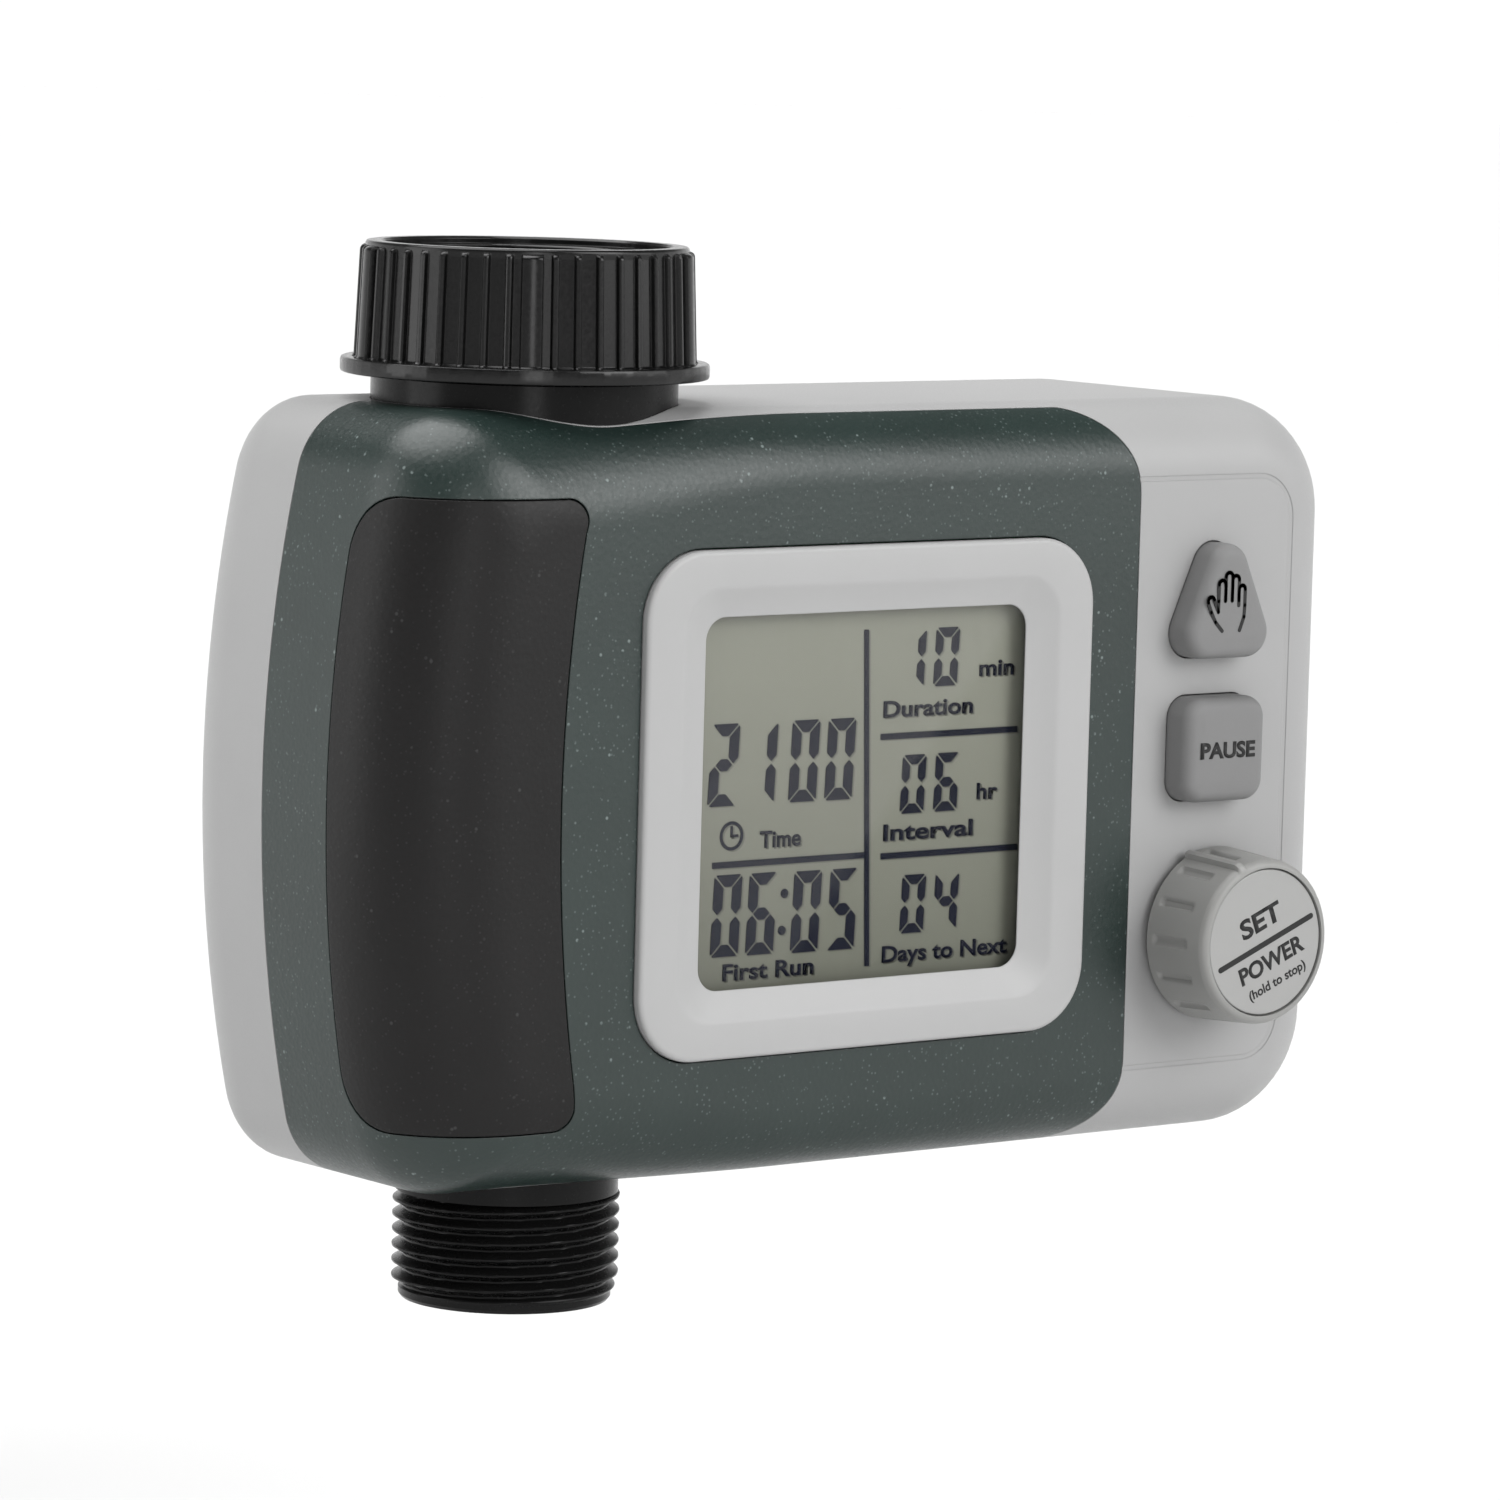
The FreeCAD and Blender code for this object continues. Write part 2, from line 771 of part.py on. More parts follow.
make_board()
keep(group([board_screw(x, z) for x, z in PCB_SCREWS]), "pcb_screws")
keep(box(9, 1.2, 9, 20, PCB_BACK, -78), "controller_chip")
keep(group([cylinder(3, 7, x, PCB_BACK, -79, "Y") for x in (41.0, 49.0)]), "capacitors")

# ---------------------------------------------------------------- buttons

LIP_FRONT = size.case_front + size.case_wall + 0.3
LIP_BACK = LIP_FRONT + 1.0
SWITCH_FRONT = size.pcb_front - 3.4
STEM_END = SWITCH_FRONT - size.key_travel - 0.3
PIN_BACK = SWITCH_FRONT + 0.8


def make_button(name):
    """A soft key with a retaining lip behind the wall and a stem to its switch."""
    outline, z = BUTTONS[name]
    cap = extruded(outline(0, size.button_face), LIP_BACK - size.button_face)
    cap = cap.makeFillet(1.0, edges_at(cap, size.button_face))
    lip = extruded(outline(-size.button_lip, LIP_FRONT), LIP_BACK - LIP_FRONT)
    stem = drilled_along_y(size.button_x, z, 2.0, LIP_BACK, STEM_END)
    keep(feature(cap.fuse([lip, stem]), name.title() + "Button"), f"{name}_button")
    pin = cylinder(1.6, PIN_BACK - STEM_END, dim.button_x, STEM_END, z, "Y")
    keep(pin, f"{name}_switch_pin")


def switch_case(z):
    """A push switch on the board, open at the front for its pin."""
    block = box(6, 3.4, 6, dim.button_x - 3, SWITCH_FRONT, z - 3)
    well = cylinder(1.65, 2.6, dim.button_x, SWITCH_FRONT, z, "Y")
    return cut(block, well)


for name in BUTTONS:
    make_button(name)
keep(group([switch_case(z) for _, z in BUTTONS.values()]), "push_switches")

# ---------------------------------------------------------------- knob and encoder

FLUTES = 14


def make_knob():
    length = dim.knob_back - dim.knob_face
    body = doc.addObject("Part::Cone", "KnobBody")
    body.Placement = Placement(Vector(), AXES["Y"])
    bind(body, "Radius1", dim.knob_face_radius)
    bind(body, "Radius2", dim.knob_radius)
    bind(body, "Height", length)
    place(body, dim.knob_x, dim.knob_face, dim.knob_z)
    skirt_start = dim.knob_face + dim.knob_skirt
    skirt = length - dim.knob_skirt
    tools = [
        cylinder(dim.knob_cap_radius, 1.5, dim.knob_x, dim.knob_face, dim.knob_z, "Y"),
        cylinder(dim.knob_hollow_radius, skirt, dim.knob_x, skirt_start, dim.knob_z, "Y"),
        cylinder(dim.spindle_radius, 12, dim.knob_x, dim.knob_face + 2.7, dim.knob_z, "Y"),
    ]
    hub = ring(5.0, dim.spindle_radius, skirt, dim.knob_x, skirt_start, dim.knob_z, "Y")
    for number in range(FLUTES):
        turn = 2 * math.pi * number / FLUTES
        reach = 11.5
        x = dim.knob_x + reach * math.cos(turn)
        z = dim.knob_z + reach * math.sin(turn)
        tools.append(cylinder(1.35, 6.5, x, dim.knob_face + 1.6, z, "Y"))
    keep(fuse(cut(body, *tools), hub), "knob")


make_knob()
keep(cylinder(dim.knob_cap_radius - 0.03, 1.3, dim.knob_x, dim.knob_face + 0.2, dim.knob_z, "Y"), "knob_cap")
ENCODER_FRONT = size.pcb_front - 6.0
SPINDLE_FRONT = size.knob_face + 3.0
SPINDLE_LONG = ENCODER_FRONT + 2.0 - SPINDLE_FRONT
spindle = cylinder(dim.spindle_radius, SPINDLE_LONG, dim.knob_x, SPINDLE_FRONT, dim.knob_z, "Y")
keep(spindle, "encoder_spindle")
keep(cylinder(2.6, 0.8, dim.knob_x, ENCODER_FRONT + 2.3, dim.knob_z, "Y"), "encoder_push_plate")
keep(cut(
    fuse(
        box(12, 6, 12, dim.knob_x - 6, ENCODER_FRONT, dim.knob_z - 6),
        cylinder(4.2, 1.6, dim.knob_x, ENCODER_FRONT - 0.4, dim.knob_z, "Y"),
    ),
    cylinder(dim.spindle_radius + 0.05, 5.2, dim.knob_x, ENCODER_FRONT - 1, dim.knob_z, "Y"),
), "encoder_body")

# ---------------------------------------------------------------- valve


def ridge(root, crest, pitch, z, flat=0.3):
    """One thread ridge, its crest centred on z; crest may lie inside or outside root."""
    rise = (float(pitch) - 2 * flat) / 2
    pieces = []
    for low, first, second in ((z - flat / 2 - rise, root, crest), (z + flat / 2, crest, root)):
        flank = doc.addObject("Part::Cone", "Flank")
        bind(flank, "Radius1", first)
        bind(flank, "Radius2", second)
        bind(flank, "Height", rise)
        place(flank, 0, 0, low)
        pieces.append(flank)
    pieces.append(cylinder(crest, flat, 0, 0, z - flat / 2))
    return pieces


OUTLET_CRESTS = 6


def make_valve_body():
    """The moulded valve: neck, column, side chamber with its seat, and threaded outlet."""
    chamber_start = 7.0
    neck_high = 6.9
    solids = [
        cylinder(dim.neck_radius, neck_high, 0, 0, dim.neck_top - neck_high),
        cylinder(14.6, 4, 0, 0, -18),
        cylinder(dim.column_radius, dim.neck_top - dim.outlet_end, 0, 0, dim.outlet_end),
        cylinder(dim.outlet_neck_radius, 7, 0, 0, dim.outlet_neck_top - 7),
        cylinder(dim.outlet_major_radius - 0.6, 1.2, 0, 0, dim.outlet_end),
        cylinder(dim.chamber_radius, 15, chamber_start, dim.chamber_y, dim.chamber_z, "X"),
    ]
    for number in range(OUTLET_CRESTS):
        z = dim.outlet_first_crest - number * dim.outlet_pitch
        solids += ridge(dim.outlet_root_radius, dim.outlet_major_radius, size.outlet_pitch, z)
    for y, z in BONNET_SCREWS:
        solids.append(cylinder(3, 9, 13, y, z, "X"))
    outer = fuse(*solids)
    hollows = [
        cylinder(dim.bore_radius, 60, 0, 0, -44.3),
        cylinder(dim.bore_radius, 70, 0, 0, -117.2),
        cylinder(dim.spigot_radius, 12, 0, 0, -16),
        cut(cylinder(dim.cavity_radius, 13, 10, dim.chamber_y, dim.chamber_z, "X"),
            cylinder(dim.seat_radius, 9, 10, dim.chamber_y, dim.chamber_z, "X")),
        cylinder(dim.seat_bore, 30, 0, dim.chamber_y, dim.chamber_z, "X"),
        box(12, 10, 3.2, -1, 0, -44.3),
    ]
    for y, z in BONNET_SCREWS:
        hollows.append(cylinder(1.1, 8, 15, y, z, "X"))
    keep(cut(outer, *hollows), "valve_body")


CORNER_REACH = 11.4
BONNET_SCREWS = [
    (size.chamber_y + side * CORNER_REACH, size.chamber_z + rise * CORNER_REACH)
    for side in (-1, 1)
    for rise in (-1, 1)
]
DIAPHRAGM_START = 22.0
BONNET_START = 23.2
BONNET_END = 30.4
BONNET_EAR = 4.0
TUBE_START = BONNET_END - 1.4


def make_bonnet():
    thick = BONNET_END - BONNET_START
    solids = [cylinder(dim.chamber_radius, thick, BONNET_START, dim.chamber_y, dim.chamber_z, "X")]
    for y, z in BONNET_SCREWS:
        solids.append(cylinder(3, BONNET_EAR, BONNET_START, y, z, "X"))
    hollows = [
        cylinder(9.5, 4.4, BONNET_START, dim.chamber_y, dim.chamber_z, "X"),
        cylinder(dim.tube_radius, 20, TUBE_START, dim.chamber_y, dim.chamber_z, "X"),
        cylinder(1.0, 20, BONNET_START, dim.chamber_y, dim.chamber_z, "X"),
    ]
    for y, z in BONNET_SCREWS:
        hollows.append(cylinder(1.2, 6, BONNET_START - 1, y, z, "X"))
        hollows.append(cylinder(3.05, 6, BONNET_START + BONNET_EAR, y, z, "X"))
    keep(cut(fuse(*solids), *hollows), "valve_bonnet")


def bonnet_screw(y, z):
    shank = cylinder(1.1, 11.2, 16, y, z, "X")
    head = cylinder(2.6, 2, BONNET_START + BONNET_EAR, y, z, "X")
    return fuse(shank, head)


def x_ring(outer, inner, start, end):
    return ring(outer, inner, end - start, start, dim.chamber_y, dim.chamber_z, "X")


def x_rod(radius, start, end):
    return cylinder(radius, end - start, start, dim.chamber_y, dim.chamber_z, "X")


def helical_spring(radius, wire, turns, start, length):
    """A round-wire spring along X on the valve chamber's axis."""
    path = Part.makeHelix((length - wire) / turns, length - wire, radius)
    profile = Part.Wire(Part.makeCircle(wire / 2, Vector(radius, 0, 0), Vector(0, 1, 0)))
    coil = Part.Wire(path).makePipeShell([profile], True, True)
    spring = doc.addObject("Part::Feature", "Spring")
    spring.Shape = coil
    spring.Placement = Placement(Vector(start + wire / 2, size.chamber_y, size.chamber_z), AXES["X"])
    return spring


make_valve_body()
make_bonnet()
keep(group([bonnet_screw(y, z) for y, z in BONNET_SCREWS]), "bonnet_screws")
keep(x_ring(dim.diaphragm_radius, 8.5, DIAPHRAGM_START, BONNET_START), "valve_diaphragm")
keep(x_rod(dim.poppet_radius, 19.3, 22.4), "diaphragm_poppet")
keep(helical_spring(4.6, 0.8, 4, 22.5, 5.0), "diaphragm_spring")

# ---------------------------------------------------------------- solenoid

PLUNGER_START = 30.3
PLUNGER_END = 47.9
SPRING_WELL = 42.0
COIL_BORE = dim.tube_radius + 0.05

keep(x_ring(dim.tube_radius, dim.tube_bore, TUBE_START, dim.tube_end), "core_tube")
plunger = x_rod(dim.plunger_radius, PLUNGER_START, PLUNGER_END)
keep(cut(plunger, x_rod(2.3, SPRING_WELL, PLUNGER_END + 0.6)), "solenoid_plunger")
keep(x_rod(2.4, PLUNGER_START - 1.0, PLUNGER_START), "plunger_seal")
keep(x_rod(4.0, dim.core_start, dim.core_end), "solenoid_core")
keep(helical_spring(1.7, 0.5, 6, SPRING_WELL + 0.1, 7.3), "plunger_spring")
keep(fuse(
    x_ring(dim.coil_sleeve_radius, COIL_BORE, dim.coil_start, dim.coil_end),
    x_ring(dim.coil_cheek_radius, COIL_BORE, dim.coil_start, dim.coil_start + dim.coil_cheek),
    x_ring(dim.coil_cheek_radius, COIL_BORE, dim.coil_end - dim.coil_cheek, dim.coil_end),
), "coil_bobbin")
winding_start = dim.coil_start + dim.coil_cheek + 0.1
winding_end = dim.coil_end - dim.coil_cheek - 0.1
keep(x_ring(dim.winding_radius, dim.coil_sleeve_radius + 0.05, winding_start, winding_end), "coil_winding")


def make_solenoid_frame():
    """Two end plates and the yoke behind the coil."""
    side = dim.frame_side
    plate = dim.frame_plate
    start = dim.frame_start
    low_z = dim.chamber_z - side / 2
    low_y = dim.chamber_y - side / 2
    plates = fuse(
        box(plate, side, side, start, low_y, low_z),
        box(plate, side, side, dim.frame_end - plate, low_y, low_z),
        box(dim.frame_end - start, plate, side, start, low_y + side - plate, low_z),
    )
    keep(cut(plates, x_rod(4.9, 30, 56)), "solenoid_frame")


make_solenoid_frame()
WINDING_FRONT = size.chamber_y - size.winding_radius - 0.05
keep(group([
    cylinder(0.6, WINDING_FRONT - float(PCB_BACK), x, PCB_BACK, dim.chamber_z, "Y") for x in (38.0, 46.0)
]), "solenoid_leads")

# ---------------------------------------------------------------- inlet

SPIGOT_TOP = -size.washer_thick


def make_spigot():
    tube = cylinder(dim.spigot_radius, SPIGOT_TOP + 16, 0, 0, -16)
    flange = cylinder(dim.spigot_flange_radius, 2, 0, 0, SPIGOT_TOP - 2)
    bore = cylinder(dim.bore_radius, 30, 0, 0, -20)
    rebate = cylinder(9.7, 1.2, 0, 0, SPIGOT_TOP - 1.1)
    keep(cut(fuse(tube, flange), bore, rebate), "inlet_spigot")


def make_filter():
    """A basket screen under the washer."""
    rim = ring(9.6, 7.0, 1.0, 0, 0, SPIGOT_TOP - 1.1)
    wall = ring(7.8, 7.0, 9.5, 0, 0, SPIGOT_TOP - 10.5)
    floor = cylinder(7.8, 0.8, 0, 0, SPIGOT_TOP - 10.5)
    windows = []
    for number in range(4):
        for level in (0, 1):
            windows.append(turned_box(20, 2.6, 3.2, -10, SPIGOT_TOP - 9 + 4 * level, 45 * number))
    keep(cut(fuse(rim, wall, floor), *windows), "inlet_filter")


def cone(low_radius, high_radius, height, z):
    thing = doc.addObject("Part::Cone", "Cone")
    bind(thing, "Radius1", low_radius)
    bind(thing, "Radius2", high_radius)
    bind(thing, "Height", height)
    place(thing, 0, 0, z)
    return thing


NUT_BARS = 5
NUT_RIBS = 8
TAP_CRESTS = 4
TAP_FIRST_CREST = 0.25
GRIP_ROOT = 2.0
FIRST_BAR = -124.0


def make_nut():
    """The hose-tap nut: flange, five grip bars, fine ribs between them, ridged thread inside."""
    body_low = dim.nut_bottom + dim.nut_flange_thick
    body_high = dim.nut_top - dim.nut_bottom - dim.nut_flange_thick
    solids = [
        cylinder(dim.nut_flange_radius, dim.nut_flange_thick, 0, 0, dim.nut_bottom),
        cone(dim.nut_radius - 0.6, dim.nut_top_radius - 0.6, body_high, body_low),
    ]
    for bar in range(NUT_BARS):
        around = FIRST_BAR + 360 * bar / NUT_BARS
        solids.append(grip(around, 2.4, dim.nut_radius + 0.5, size.nut_top - 1.0))
        for rib in range(NUT_RIBS):
            offset = (rib + 1) * 360 / NUT_BARS / (NUT_RIBS + 1)
            solids.append(grip(around + offset, 0.8, dim.nut_radius - 0.1, size.nut_top - 2.0))
    hollow = cylinder(dim.tap_major_radius, 14, 0, 0, -4.5)
    throat = cylinder(dim.spigot_radius + 0.3, 10, 0, 0, -10)
    shell_solid = cut(fuse(*solids), hollow, throat)
    threads = []
    for number in range(TAP_CRESTS):
        z = TAP_FIRST_CREST + number * dim.tap_pitch
        outer = cylinder(dim.tap_major_radius, 1.9, 0, 0, z - 0.95)
        hole = cylinder(dim.tap_minor_radius, 1.9, 0, 0, z - 0.95)
        upper = cone(dim.tap_minor_radius, dim.tap_major_radius, 0.8, z + 0.15)
        lower = cone(dim.tap_major_radius, dim.tap_minor_radius, 0.8, z - 0.95)
        threads.append(cut(outer, hole, upper, lower))
    keep(fuse(shell_solid, *threads), "inlet_nut")


def grip(around, wide, radius, top):
    """One upright bar on the nut's side."""
    low = size.nut_bottom + 0.5
    return turned_box(GRIP_ROOT, wide, top - low, float(radius) - GRIP_ROOT, low, around)


make_spigot()
make_filter()
make_nut()
keep(ring(14.7, dim.bore_radius + 0.4, dim.washer_thick, 0, 0, -dim.washer_thick), "inlet_washer")

# ---------------------------------------------------------------- battery drawer

TRAY_WALL = 1.2
CAP_THICK = 3.0
CELL_LOW = size.case_bottom + CAP_THICK + 2.6
CELL_SIDE = TRAY_WALL + size.cell_radius + 0.3
CELLS_X = [size.drawer_left + CELL_SIDE, size.drawer_right - CELL_SIDE]
CELL_Y = (size.drawer_front + size.drawer_back) / 2
SEAL_LOW = size.case_bottom + 1.0
SEAL_HIGH = 1.2
SEAL_PROUD = 0.2
SEAL_DEEP = 1.1


def frame_box(grow, low, high):
    """A box round the drawer's plan, grown on every side."""
    wide = dim.drawer_right - dim.drawer_left + 2 * grow
    deep = dim.drawer_back - dim.drawer_front + 2 * grow
    return box(wide, deep, high - low, dim.drawer_left - grow, dim.drawer_front - grow, low)


def seal_ring():
    top = SEAL_LOW + SEAL_HIGH
    return cut(frame_box(SEAL_PROUD, SEAL_LOW, top), frame_box(-SEAL_DEEP, SEAL_LOW, top))


def make_drawer():
    """The tray: cap at the bottom, open at the back, with a groove for its seal."""
    wide = dim.drawer_right - dim.drawer_left
    deep = dim.drawer_back - dim.drawer_front
    high = dim.drawer_top - dim.case_bottom
    middle = (dim.drawer_left + dim.drawer_right) / 2
    block = frame_box(0, dim.case_bottom, dim.drawer_top)
    hollows = [
        box(wide - 2 * TRAY_WALL, deep, high - CAP_THICK - TRAY_WALL, dim.drawer_left + TRAY_WALL,
            dim.drawer_front + TRAY_WALL, dim.case_bottom + CAP_THICK),
        box(14, 1.6, 1.6, middle - 7, dim.drawer_front, dim.case_bottom - 1),
        seal_ring(),
    ]
    keep(cut(block, *hollows), "battery_drawer")
    keep(seal_ring(), "drawer_seal")


def make_cell(x):
    barrel = cylinder(dim.cell_radius, dim.cell_length - 1.2, x, CELL_Y, CELL_LOW)
    button = cylinder(2.7, 1.2, x, CELL_Y, CELL_LOW + size.cell_length - 1.2)
    return fuse(barrel, button)


def contact_plates(wide, thick, z):
    return group([box(wide, wide, thick, x - wide / 2, CELL_Y - wide / 2, z) for x in CELLS_X])


BAY_WALL = 1.2
BAY_CEILING = size.drawer_top + 0.5


def make_bay():
    """The dry bay that the drawer slides in."""
    low = size.case_bottom + size.case_wall
    gap = dim.drawer_gap
    outer = frame_box(gap + BAY_WALL, low, BAY_CEILING + BAY_WALL)
    inner = frame_box(gap, low - 1, BAY_CEILING)
    keep(cut(outer, inner), "battery_bay")


make_drawer()
make_bay()
for number, x in enumerate(CELLS_X, start=1):
    keep(make_cell(x), f"battery_cell_{number}")
keep(contact_plates(9.0, 0.4, CELL_LOW + size.cell_length), "battery_top_contacts")
keep(contact_plates(6.0, 0.2, BAY_CEILING - 0.2), "bay_contacts")
keep(group([
    cylinder(0.6, 7, x, PCB_BACK, BAY_CEILING + BAY_WALL + 0.65, "Y") for x in CELLS_X
]), "battery_leads")
keep(group([ring(4, 3.2, CELL_LOW - size.case_bottom - CAP_THICK, x, CELL_Y, size.case_bottom + CAP_THICK)
            for x in CELLS_X]), "battery_spring_contacts")

# ---------------------------------------------------------------- case screws


def case_screw(x, z):
    head = cylinder(dim.case_head_radius, 2.0, x, HEAD_SEAT, z, "Y")
    shank = cylinder(1.24, HEAD_SEAT - BOSS_START - 2, x, BOSS_START + 2, z, "Y")
    drive = box(3.6, 1.2, 0.7, x - 1.8, HEAD_SEAT + 1.0, z - 0.35)
    cross = box(0.7, 1.2, 3.6, x - 0.35, HEAD_SEAT + 1.0, z - 1.8)
    return cut(fuse(head, shank), drive, cross)


keep(group([case_screw(x, z) for x, z in CASE_SCREWS]), "case_screws")


# ---------------------------------------------------------------- write the files


def check_and_write():
    doc.recompute()
    for thing in doc.Objects:
        if "Invalid" in thing.State or "Error" in thing.State:
            raise RuntimeError(f"{thing.Name} failed: {thing.State}")
    names = [thing.Label for thing in parts]
    if len(set(names)) != len(names):
        raise RuntimeError("two sub-parts share a name")
    for thing in parts:
        if thing.Shape.isNull() or not thing.Shape.isValid():
            raise RuntimeError(f"{thing.Label} has no valid shape")
    os.makedirs("parts", exist_ok=True)
    for thing in parts:
        thing.Shape.exportStep(f"parts/{thing.Label}.step")


check_and_write()
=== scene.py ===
import json
import math
from contextlib import contextmanager
import bmesh
import bpy
from mathutils import Matrix, Vector
from mathutils.bvhtree import BVHTree
from mathutils.interpolate import poly_3d_calc


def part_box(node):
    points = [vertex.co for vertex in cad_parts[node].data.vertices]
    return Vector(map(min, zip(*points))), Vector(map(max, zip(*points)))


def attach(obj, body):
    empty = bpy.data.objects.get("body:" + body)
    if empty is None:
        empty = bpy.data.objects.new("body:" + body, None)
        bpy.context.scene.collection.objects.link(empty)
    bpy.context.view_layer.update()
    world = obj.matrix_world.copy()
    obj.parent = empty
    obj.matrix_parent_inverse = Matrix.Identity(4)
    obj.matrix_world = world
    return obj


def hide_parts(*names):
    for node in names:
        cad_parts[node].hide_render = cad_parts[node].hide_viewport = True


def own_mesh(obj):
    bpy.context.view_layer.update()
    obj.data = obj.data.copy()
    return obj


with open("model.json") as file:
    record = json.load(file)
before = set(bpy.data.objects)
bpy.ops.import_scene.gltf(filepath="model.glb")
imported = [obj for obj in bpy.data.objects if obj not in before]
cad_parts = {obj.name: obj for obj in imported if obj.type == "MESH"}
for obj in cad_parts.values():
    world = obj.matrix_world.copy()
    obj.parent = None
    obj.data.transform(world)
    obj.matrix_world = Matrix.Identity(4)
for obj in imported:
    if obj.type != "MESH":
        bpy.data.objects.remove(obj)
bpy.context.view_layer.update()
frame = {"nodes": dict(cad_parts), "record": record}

# Lengths are in millimetres in the frame's axes: the valve axis is Z and the display faces -Y.
MM = 0.001
FAR = 200.0


def node_box(node):
    """A CAD node's lowest and highest corners in millimetres."""
    low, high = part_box(node)
    return low / MM, high / MM


# ------------------------ places read from the frame

_, rear_high = node_box("rear_cover")
housing_low, housing_high = node_box("main_housing")
cover_low, cover_high = node_box("front_cover")
panel_low, panel_high = node_box("valve_panel")
bezel_low, bezel_high = node_box("display_bezel")
lens_low, lens_high = node_box("display_lens")
lcd_low, lcd_high = node_box("lcd_glass")
knob_low, knob_high = node_box("knob")
cap_low, cap_high = node_box("knob_cap")
manual_low, manual_high = node_box("manual_button")
delay_low, delay_high = node_box("delay_button")
nut_low, nut_high = node_box("inlet_nut")
valve_low, _ = node_box("valve_body")
drawer_low, drawer_high = node_box("battery_drawer")

CASE_LEFT, CASE_RIGHT = housing_low.x, housing_high.x
CASE_BOTTOM, CASE_TOP = housing_low.z, housing_high.z
CASE_FRONT, CASE_BACK = cover_low.y, rear_high.y
CASE_SEAM = housing_high.y
MIDDLE_Z = (CASE_TOP + CASE_BOTTOM) / 2
WALL = 2.2
SIDE_ARC = 172.0
BOW_X = CASE_LEFT + SIDE_ARC
RIGHT_CORNER = 14.0
LEFT_CORNER = 9.4
INNER_CORNER = 5.0
FRONT_EDGE = 8.8
FRONT_LEFT_EDGE = 15.0
BACK_EDGE = 7.0
BACK_LEFT_EDGE = 11.0
COVER_RIGHT = cover_high.x
COVER_CORNER = 10.5
COVER_DEPTH_LINE = -18.0
COVER_LOW_LINE = -14.2
COVER_SIDE_LINE = cover_high.y
NECK_SURROUND = 18.0
NECK_RADIUS = 17.7
OUTLET_NECK = 13.0
PANEL_SKIN = 1.3
PANEL_SIDE_LINE = panel_high.y
PANEL_RIGHT_END = panel_high.x
PANEL_SAGITTA = 3.4
SEAM_HALF = 0.05
REAR_GAP = 0.06
PANEL_GAP = 0.14

# ------------------------ mesh helpers


def new_object(name, points, faces):
    """A mesh object from points in millimetres."""
    data = bpy.data.meshes.new(name)
    data.from_pydata([Vector(point) * MM for point in points], [], faces)
    data.update()
    return placed(name, data)


def placed(name, data):
    """An object of its own for some data."""
    thing = bpy.data.objects.new(name, data)
    bpy.context.scene.collection.objects.link(thing)
    return thing


def discard(thing):
    data = thing.data
    bpy.data.objects.remove(thing)
    bpy.data.meshes.remove(data)


def loft(rings, name="loft", closed=False):
    """Join rings of equal count into a solid: capped at both ends, or closed on itself."""
    count = len(rings[0])
    points = [point for ring in rings for point in ring]
    faces = []
    last = len(rings) if closed else len(rings) - 1
    for row in range(last):
        here, after = row * count, (row + 1) % len(rings) * count
        for number in range(count):
            beside = (number + 1) % count
            faces.append((here + number, here + beside, after + beside, after + number))
    if not closed:
        faces.append(tuple(reversed(range(count))))
        faces.append(tuple(range((len(rings) - 1) * count, len(rings) * count)))
    thing = new_object(name, points, faces)
    face_outwards(thing)
    return thing


@contextmanager
def editing(thing):
    """The thing's mesh, opened for changes and written back."""
    mesh = bmesh.new()
    mesh.from_mesh(thing.data)
    yield mesh
    mesh.to_mesh(thing.data)
    mesh.free()


def in_triangles(thing):
    """Split the faces that aren't flat."""
    with editing(thing) as mesh:
        bmesh.ops.triangulate(mesh, faces=[face for face in mesh.faces if len(face.verts) == 4])
    return thing


def face_outwards(thing):
    with editing(thing) as mesh:
        bmesh.ops.recalc_face_normals(mesh, faces=mesh.faces)


def facing(outline, y):
    """A front-view outline of (x, z) pairs at depth y."""
    return [(x, y, z) for x, z in outline]


def prism_y(outline, front, back):
    return loft([facing(outline, front), facing(outline, back)])


def prism_x(outline, left, right):
    """A prism along X from (y, z) pairs."""
    return loft([[(x, y, z) for y, z in outline] for x in (left, right)])


def block(low, high):
    outline = [(low[0], low[2]), (high[0], low[2]), (high[0], high[2]), (low[0], high[2])]
    return prism_y(outline, low[1], high[1])


def up_to(x=FAR, y=FAR, z=FAR):
    """All the space below these limits."""
    return block((-FAR, -FAR, -FAR), (x, y, z))


def arc(centre, radius, start, end, steps):
    """Points of an arc in a plane, angles in degrees, both ends included."""
    turns = [math.radians(start + (end - start) * step / steps) for step in range(steps + 1)]
    return [(centre[0] + radius * math.cos(turn), centre[1] + radius * math.sin(turn)) for turn in turns]


def quarter(steps, first=0):
    """A quarter turn in equal steps, in radians."""
    return [math.radians(90 * step / steps) for step in range(first, steps + 1)]


def rounding(edge, steps, first=0):
    """How far in and how deep a rounded edge is at each step, from its side to its face."""
    return [(edge * (1 - math.cos(turn)), edge * (1 - math.sin(turn))) for turn in quarter(steps, first)]


def rounded(left, right, bottom, top, radius, steps=10):
    """A rounded rectangle, anticlockwise from the lower right corner."""
    return (
        arc((right - radius, bottom + radius), radius, -90, 0, steps)
        + arc((right - radius, top - radius), radius, 0, 90, steps)
        + arc((left + radius, top - radius), radius, 90, 180, steps)
        + arc((left + radius, bottom + radius), radius, 180, 270, steps)
    )


def circle(x, z, radius, steps=96):
    return arc((x, z), radius, 0, 360 - 360 / steps, steps - 1)


def level_ring(radius, z, steps=128):
    return [(x, y, z) for x, y in circle(0, 0, radius, steps)]


def rod_z(radius, low, high):
    """An upright cylinder on the valve axis."""
    return loft([level_ring(radius, low), level_ring(radius, high)])


def polar(radius, angle, z):
    """A point at a radius from the valve axis, its angle in degrees."""
    turn = math.radians(angle)
    return radius * math.cos(turn), radius * math.sin(turn), z


